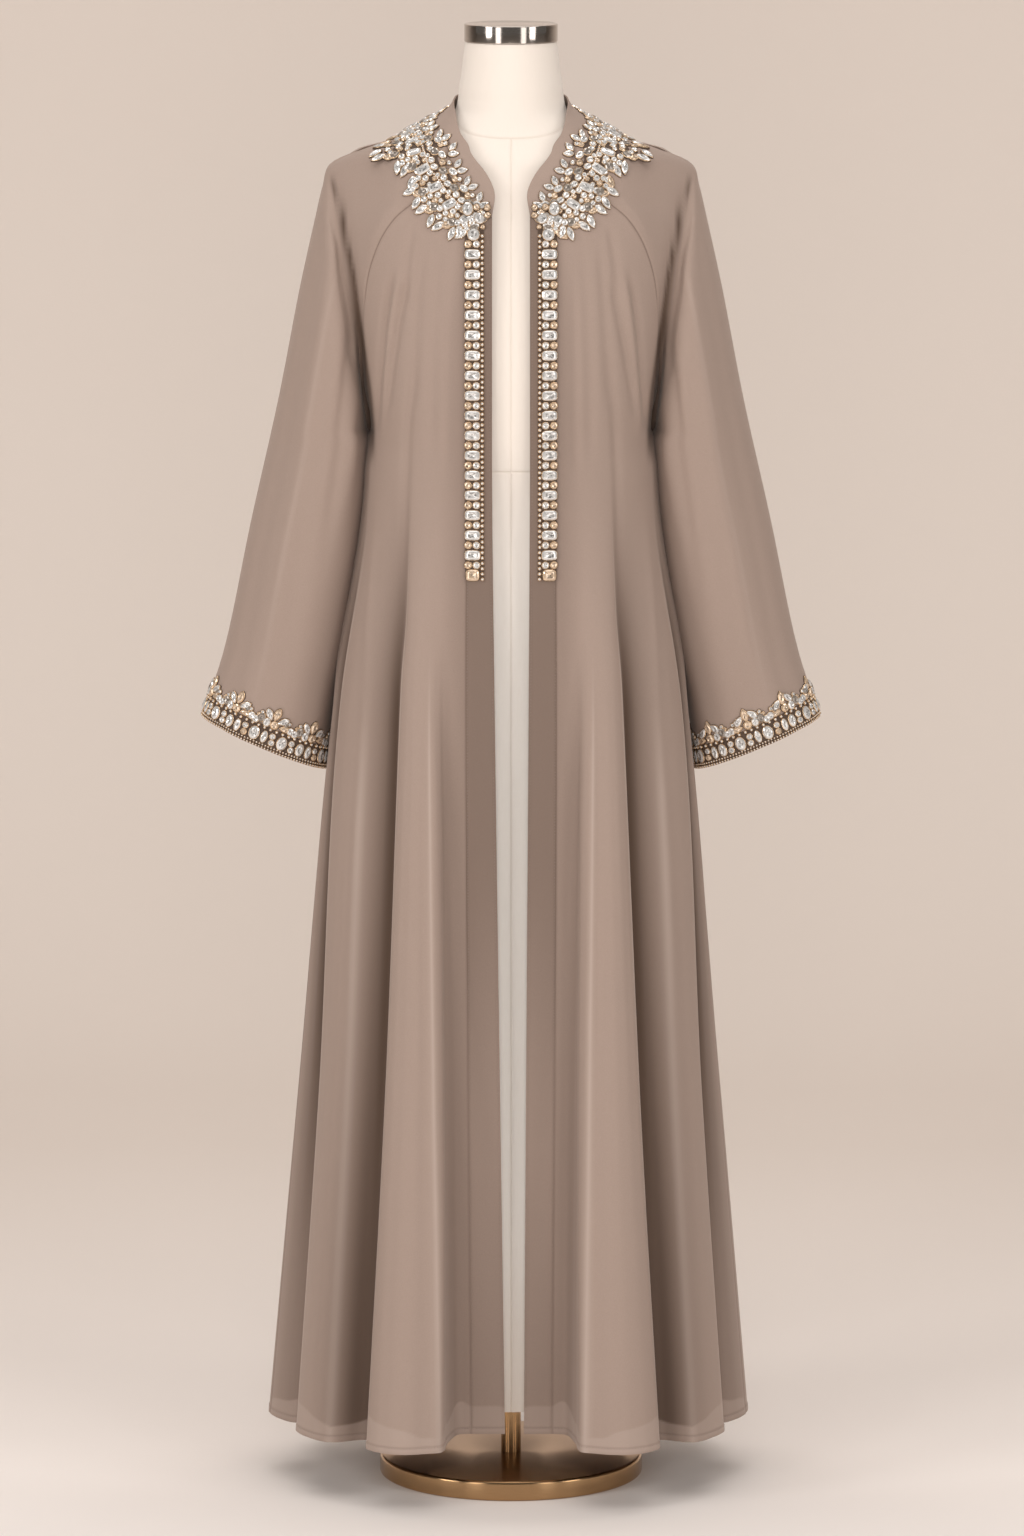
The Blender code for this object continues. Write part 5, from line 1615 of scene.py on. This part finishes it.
def build_collar():
    units = collar_units()
    ahead, behind = units[units < COLLAR_PART], units[units >= COLLAR_PART]
    for side_name, side in SIDES.items():
        trim = Trim()
        collar_stretch(trim, side, 0.50, COLLAR_PART, ahead, np.arange(0.45, 5.30, 0.085))
        for kind, x, z, length, width, degrees, look in COLLAR_FOOT:
            angle = math.radians(degrees) * side
            trim.stone(on_front(side, x, z), kind, length, width, angle, look, lift=0.0012)
        trim.finish(f"collar_stones_{side_name}", f"jewel_collar_{side_name}")
    trim = Trim()
    beads = np.arange(5.36, 8.0, 0.085)
    for side in SIDES.values():
        collar_stretch(trim, side, COLLAR_PART, len(NECK) - 1, behind[:-1], beads)
    collar_unit(trim, 1.0, units[-1])
    trim.finish("collar_stones_back", "jewel_collar_back")


def collar_unit(trim, side, at):
    for kind, share, shift, length, width, degrees, look in COLLAR_UNIT:
        shift = shift + CHANCE.uniform(-0.35, 0.35)
        place = collar_place(side, at, share + CHANCE.uniform(-0.006, 0.006), -shift * ONE_MM)
        angle = math.radians(degrees + CHANCE.uniform(-5, 5)) * side
        if look is CLEAR and kind == "petal" and CHANCE.random() < 0.12:
            look = CHAMPAGNE
        trim.stone(place, kind, length, width, angle, look)


class Cuff:
    """Places round a sleeve's end, by metres round it and metres up from its edge."""

    def __init__(self, side_name):
        _, grid, normals = SLEEVES[side_name]
        grid = grid[:, ::-1]
        normals = normals[:, ::-1]
        up = top_distance(grid)
        self.heights = np.linspace(0, 0.075, 26)
        both = np.concatenate([grid, normals], axis=2)
        self.table = np.array([
            np.stack([np.interp(self.heights, up[i], both[i, :, k]) for k in range(6)], axis=-1)
            for i in range(len(grid))
        ])
        self.table = np.concatenate([self.table, self.table[:1]])
        self.round = run_of(self.table[:, 5, :3])
        self.length = self.round[-1]

    def raw(self, s, h):
        s = np.mod(s, self.length)
        row = h / self.heights[1]
        low = min(int(row), len(self.heights) - 2)
        part = row - low
        columns = self.table[:, low] * (1 - part) + self.table[:, low + 1] * part
        return np.array([np.interp(s, self.round, columns[:, k]) for k in range(6)])

    def place(self, s, h):
        here = self.raw(s, h)
        ahead = self.raw(s + 0.002, h)[:3] - self.raw(s - 0.002, h)[:3]
        normal = unit(here[3:])
        along = unit(ahead - normal * np.dot(ahead, normal))
        return here[:3], normal, along


# One repeat of the cuff's even band: kind, length, width in millimetres, tone; a pair stacks two.
CUFF_BAND = (
    ("oval", 15.0, 11.6, CLEAR),
    ("oval", 13.5, 7.2, CLEAR),
    ("pair", 6.8, 6.8, CLEAR),
    ("oval", 15.0, 11.2, CLEAR),
    ("pair", 6.8, 6.8, CLEAR),
    ("oval", 14.0, 9.4, CLEAR),
    ("oval", 13.5, 7.2, CLEAR),
    ("pair", 6.6, 6.6, CHAMPAGNE),
)
CUFF_REPEATS = 5
# Lines of beads: metres up from the edge, millimetres across a bead, metres between beads.
CUFF_BEADS = ((0.0016, 2.7, 0.0034), (0.0048, 2.5, 0.0034), (0.0236, 4.0, 0.0072))
CUFF_FLOWERS = 9
# One flower: kind, millimetres round, millimetres up, length, width, degrees from round, tone.
CUFF_FLOWER = (
    ("round", 0.0, 30.0, 9.0, 9.0, 0, CHAMPAGNE),
    ("petal", -7.8, 39.0, 13.5, 7.4, 130, CLEAR),
    ("petal", 1.2, 42.0, 14.5, 7.6, 84, CHAMPAGNE),
    ("petal", 9.6, 37.2, 13.5, 7.2, 40, CLEAR),
    ("petal", 12.2, 29.6, 12.0, 6.4, 2, CHAMPAGNE),
    ("oval", -9.2, 29.6, 9.8, 8.4, 90, CLEAR),
    ("lozenge", -16.2, 32.4, 11.5, 9.4, 90, SMOKY),
    ("round", 19.4, 29.8, 8.4, 8.4, 0, CLEAR),
    ("round", -22.4, 28.4, 8.2, 8.2, 0, CLEAR),
    ("lozenge", 13.0, 35.6, 8.0, 7.0, 90, SMOKY),
    ("round", -16.4, 38.8, 3.8, 3.8, 0, CLEAR),
    ("round", -20.2, 35.2, 3.6, 3.6, 0, CHAMPAGNE),
    ("round", 17.0, 36.6, 4.0, 4.0, 0, CLEAR),
)


def build_cuffs():
    for side_name in SIDES:
        trim = Trim()
        cuff = Cuff(side_name)
        around = cuff.length
        for up, size, pitch in CUFF_BEADS:
            count = int(round(around / pitch))
            for k in range(count):
                trim.set_bead(cuff.place(around * k / count, up), size)
        natural = sum(width for _, _, width, _ in CUFF_BAND) * ONE_MM
        gap = (around / CUFF_REPEATS - natural) / len(CUFF_BAND)
        s = 0.0
        for _ in range(CUFF_REPEATS):
            for kind, length, width, look in CUFF_BAND:
                middle = s + width * ONE_MM / 2
                if kind == "pair":
                    trim.stone(cuff.place(middle, 0.0172), "round", width, width, 0, CLEAR)
                    trim.stone(cuff.place(middle, 0.0100), "round", width, width, 0, look)
                else:
                    trim.stone(cuff.place(middle, 0.0136), kind, length, width, math.pi / 2, look)
                s += width * ONE_MM + gap
        for k in range(CUFF_FLOWERS):
            for kind, shift, up, length, width, degrees, look in CUFF_FLOWER:
                s = around * (k + 0.35) / CUFF_FLOWERS + shift * ONE_MM
                up = (up + CHANCE.uniform(-0.4, 0.4)) * ONE_MM
                angle = math.radians(degrees + CHANCE.uniform(-4, 4))
                trim.stone(cuff.place(s, up), kind, length, width, angle, look)
        heights = np.linspace(0.0004, 0.0255, 6)
        trim.sheet([[cuff.place(s, h) for h in heights] for s in np.linspace(0, around, 121)])
        trim.finish(f"cuff_stones_{side_name}", f"jewel_cuff_{side_name}")


build_band_trims()
build_collar()
build_cuffs()


# ---- form and stand
NECK_SEAM_FRONT_Z = 1.4807
NECK_SEAM_RISE = 0.0495     # from the throat to the nape
WAIST_Z = 1.1260


def crowded(low, high, count, places, spread):
    """Even values from low to high, with extra ones close about some places."""
    values = list(np.linspace(low, high, count))
    for place in places:
        values += [place + spread * step for step in (-2.2, -1.2, -0.6, 0.0, 0.6, 1.2, 2.2)]
    values = np.unique(np.round(values, 6))
    return values[(values >= low) & (values <= high)]


def build_form():
    turns = np.linspace(0, 2 * np.pi, 129)[:-1]
    near_seam = (-0.016, -0.008, -0.004, 0.004, 0.008, 0.016)
    extra = [seam + step for seam in (0, math.pi) for step in near_seam]
    turns = np.unique(np.round(np.mod(np.concatenate([turns, extra]), 2 * np.pi), 6))
    heights = crowded(FORM_BOTTOM_Z, NECK_TOP_Z, 210, (WAIST_Z,), 0.0009)
    fine = np.linspace(1.478, 1.534, 72)
    heights = np.unique(np.round(np.concatenate([heights, fine]), 6))[::-1]
    grid = ring_point(FORM, heights[None, :], turns[:, None])
    normals = turned_to(normals_of(grid, ring=True), (0, 80), (0, -1, 0))
    behind = (1 - np.cos(turns)[:, None]) / 2
    seam_z = NECK_SEAM_FRONT_Z + NECK_SEAM_RISE * np.sin(np.pi / 2 * behind)
    z = grid[..., 2]
    across = np.abs(grid[..., 0])
    seams = np.exp(-((z - seam_z) / 0.0009) ** 2)
    seams = np.maximum(seams, np.exp(-((z - WAIST_Z) / 0.0010) ** 2))
    middle = np.exp(-(across / 0.0009) ** 2) * (z < seam_z + 0.0005)
    seams = np.maximum(seams, middle)
    grid = grid - normals * (0.0006 * seams)[..., None]
    tone = np.zeros((*grid.shape[:2], 3))
    tone[..., 0] = 1 - 0.34 * seams
    # Painted shade on the form's upper part and painted shadow on its lower part, where the cloth
    # shades it.
    tone[..., 1] = 0.5 * ease((z - 0.95) / 0.25)
    tone[..., 2] = 0.42 * ease((0.34 - z) / 0.32)
    columns, rows = grid.shape[:2]
    faces = grid_faces(columns, rows, True)[:, [0, 3, 2, 1]]
    points = grid.reshape(-1, 3)
    uv = grid_lengths(grid).reshape(-1, 2)
    tones = tone.reshape(-1, 3)
    caps = []
    for row, flip in ((0, False), (rows - 1, True)):
        middle_at = len(points)
        points = np.concatenate([points, grid[:, row].mean(axis=0)[None]])
        uv = np.concatenate([uv, uv[:1] * 0])
        tones = np.concatenate([tones, np.array([[1.0, 0, 0]])])
        for k in range(0, columns, 2):
            a, b, c = ((k + step) % columns * rows + row for step in range(3))
            caps.append((middle_at, a, b, c) if not flip else (middle_at, c, b, a))
    faces = np.concatenate([faces, np.array(caps)])
    finished(solid("form_cloth", points, faces, LINEN, uv, tones, sharp=40), "linen", "form_body")


def turned(name, profile, segments, material):
    """Solid of revolution through a profile of (radius, z), with UV round and across it."""
    profile = [(0.0004, profile[0][1])] + list(profile) + [(0.0004, profile[-1][1])]
    radii, heights = np.array(profile).T
    angles = np.linspace(0, 2 * np.pi, segments + 1)[:-1]
    points = np.empty((segments, len(profile), 3))
    points[..., 0] = radii * np.cos(angles)[:, None]
    points[..., 1] = radii * np.sin(angles)[:, None]
    points[..., 2] = heights
    run = running(np.hypot(np.diff(radii), np.diff(heights)))
    uv = np.stack(np.broadcast_arrays(angles[:, None] / 6.3, run), axis=-1)
    faces = grid_faces(segments, len(profile), True)
    return solid(name, points.reshape(-1, 3), faces, material, uv.reshape(-1, 2), sharp=35)


def rounded(radius, low, high, bevel, steps=5):
    """Profile of a disc with rounded edges."""
    quarter = [math.pi / 2 * step / steps for step in range(steps + 1)]
    inner, top = radius - bevel, high - bevel
    profile = [(inner + bevel * math.sin(a), low + bevel - bevel * math.cos(a)) for a in quarter]
    return profile + [(inner + bevel * math.cos(a), top + bevel * math.sin(a)) for a in quarter]


def build_stand():
    cap = rounded(CAP_RADIUS, NECK_TOP_Z + 0.0003, TOTAL_HEIGHT, 0.0012)
    finished(turned("cap_metal", cap, 160, CHROME), "polished_steel", "neck_cap")
    base = rounded(BASE_RADIUS, 0.0, BASE_HEIGHT, 0.0035, 6)
    finished(turned("base_metal", base, 200, BRONZE), "bronze", "base_disc")
    bottom = FORM_BOTTOM_Z - 0.0003 - FLANGE_THICK
    flange = rounded(FLANGE_RADIUS, bottom, bottom + FLANGE_THICK, 0.001)
    finished(turned("flange_metal", flange, 80, BRONZE), "bronze", "pole_flange")
    pole = [(POLE_RADIUS, BASE_HEIGHT + 0.0003), (POLE_RADIUS, bottom - 0.0003)]
    finished(turned("pole_metal", pole, 80, BRONZE), "bronze", "pole")


build_form()
build_stand()


# ---- studio
def build_stage():
    profile = [(-30.0, 0.0)]
    bend, back = 1.6, 2.2
    for step in range(17):
        angle = math.pi / 2 * step / 16
        profile.append((back + bend * math.sin(angle), bend - bend * math.cos(angle)))
    profile.append((back + bend, 7.0))
    material = stage_material()
    floor = [(1.9, -0.002), (30.0, -0.002)]
    for name, line in (("studio_sweep", profile), ("studio_floor", floor)):
        points = [(x, y, z) for x in (-30.0, 30.0) for y, z in line]
        count = len(line)
        faces = [(k, k + count, k + 1 + count, k + 1) for k in range(count - 1)]
        solid(name, np.array(points), faces, material)


def lamp(name, place, target, width, height, power, color):
    data = bpy.data.lights.new(name, "AREA")
    data.shape = "RECTANGLE"
    data.size = width
    data.size_y = height
    data.energy = power
    data.color = color
    thing = bpy.data.objects.new(name, data)
    thing.location = place
    away = np.array(place) - np.array(target)
    flat = math.hypot(away[0], away[1])
    thing.rotation_euler = (math.atan2(flat, away[2]), 0.0, math.atan2(away[0], -away[1]))
    bpy.context.scene.collection.objects.link(thing)
    return thing


def build_lights():
    warm = (1.0, 0.975, 0.955)
    lamp("key", (-4.6, -3.1, 2.5), (0, 0, 0.85), 1.5, 3.2, 92, warm)
    lamp("fill", (4.6, -3.3, 2.3), (0, 0, 0.85), 1.5, 3.2, 65, warm)
    lamp("strip_left", (-2.6, -4.3, 1.7), (0, 0, 0.8), 1.1, 3.4, 30, warm)
    lamp("strip_right", (2.6, -4.3, 1.7), (0, 0, 0.8), 1.1, 3.4, 24, warm)
    front = lamp("front", (0.0, -6.4, 1.5), (0, 0, 0.8), 1.0, 2.2, 98, warm)
    front.visible_glossy = False
    lamp("top", (0.0, -0.6, 4.6), (0, 0.0, 0), 2.6, 2.0, 26, warm)
    floor = lamp("floor", (0.0, -2.1, 3.6), (0, -1.7, 0), 3.6, 1.4, 40, warm)
    floor.visible_glossy = False
    lamp("wall", (0.0, 1.0, 5.6), (0, 3.6, 1.4), 6.0, 1.0, 107, warm)
    for name, x in (("back_left", -2.4), ("back_right", 2.4)):
        behind = lamp(name, (x, 3.0, 2.2), (0, 0, 0.85), 1.0, 2.4, 9, warm)
        behind.visible_glossy = False
        behind.visible_camera = False
    world = bpy.data.worlds.new("studio")
    world.use_nodes = True
    background = world.node_tree.nodes["Background"]
    background.inputs["Color"].default_value = (1.0, 0.95, 0.90, 1)
    background.inputs["Strength"].default_value = 0.15
    bpy.context.scene.world = world


def build_camera():
    data = bpy.data.cameras.new("camera")
    data.lens = 195.28
    data.sensor_width = 36
    data.clip_end = 60
    camera = bpy.data.objects.new("camera", data)
    camera.location = (0.0011, -9.0, 2.2)
    camera.rotation_euler = (math.radians(81.0798), 0, 0)
    bpy.context.scene.collection.objects.link(camera)
    bpy.context.scene.camera = camera


build_stage()
build_lights()
build_camera()
bpy.context.scene.view_settings.view_transform = "Standard"
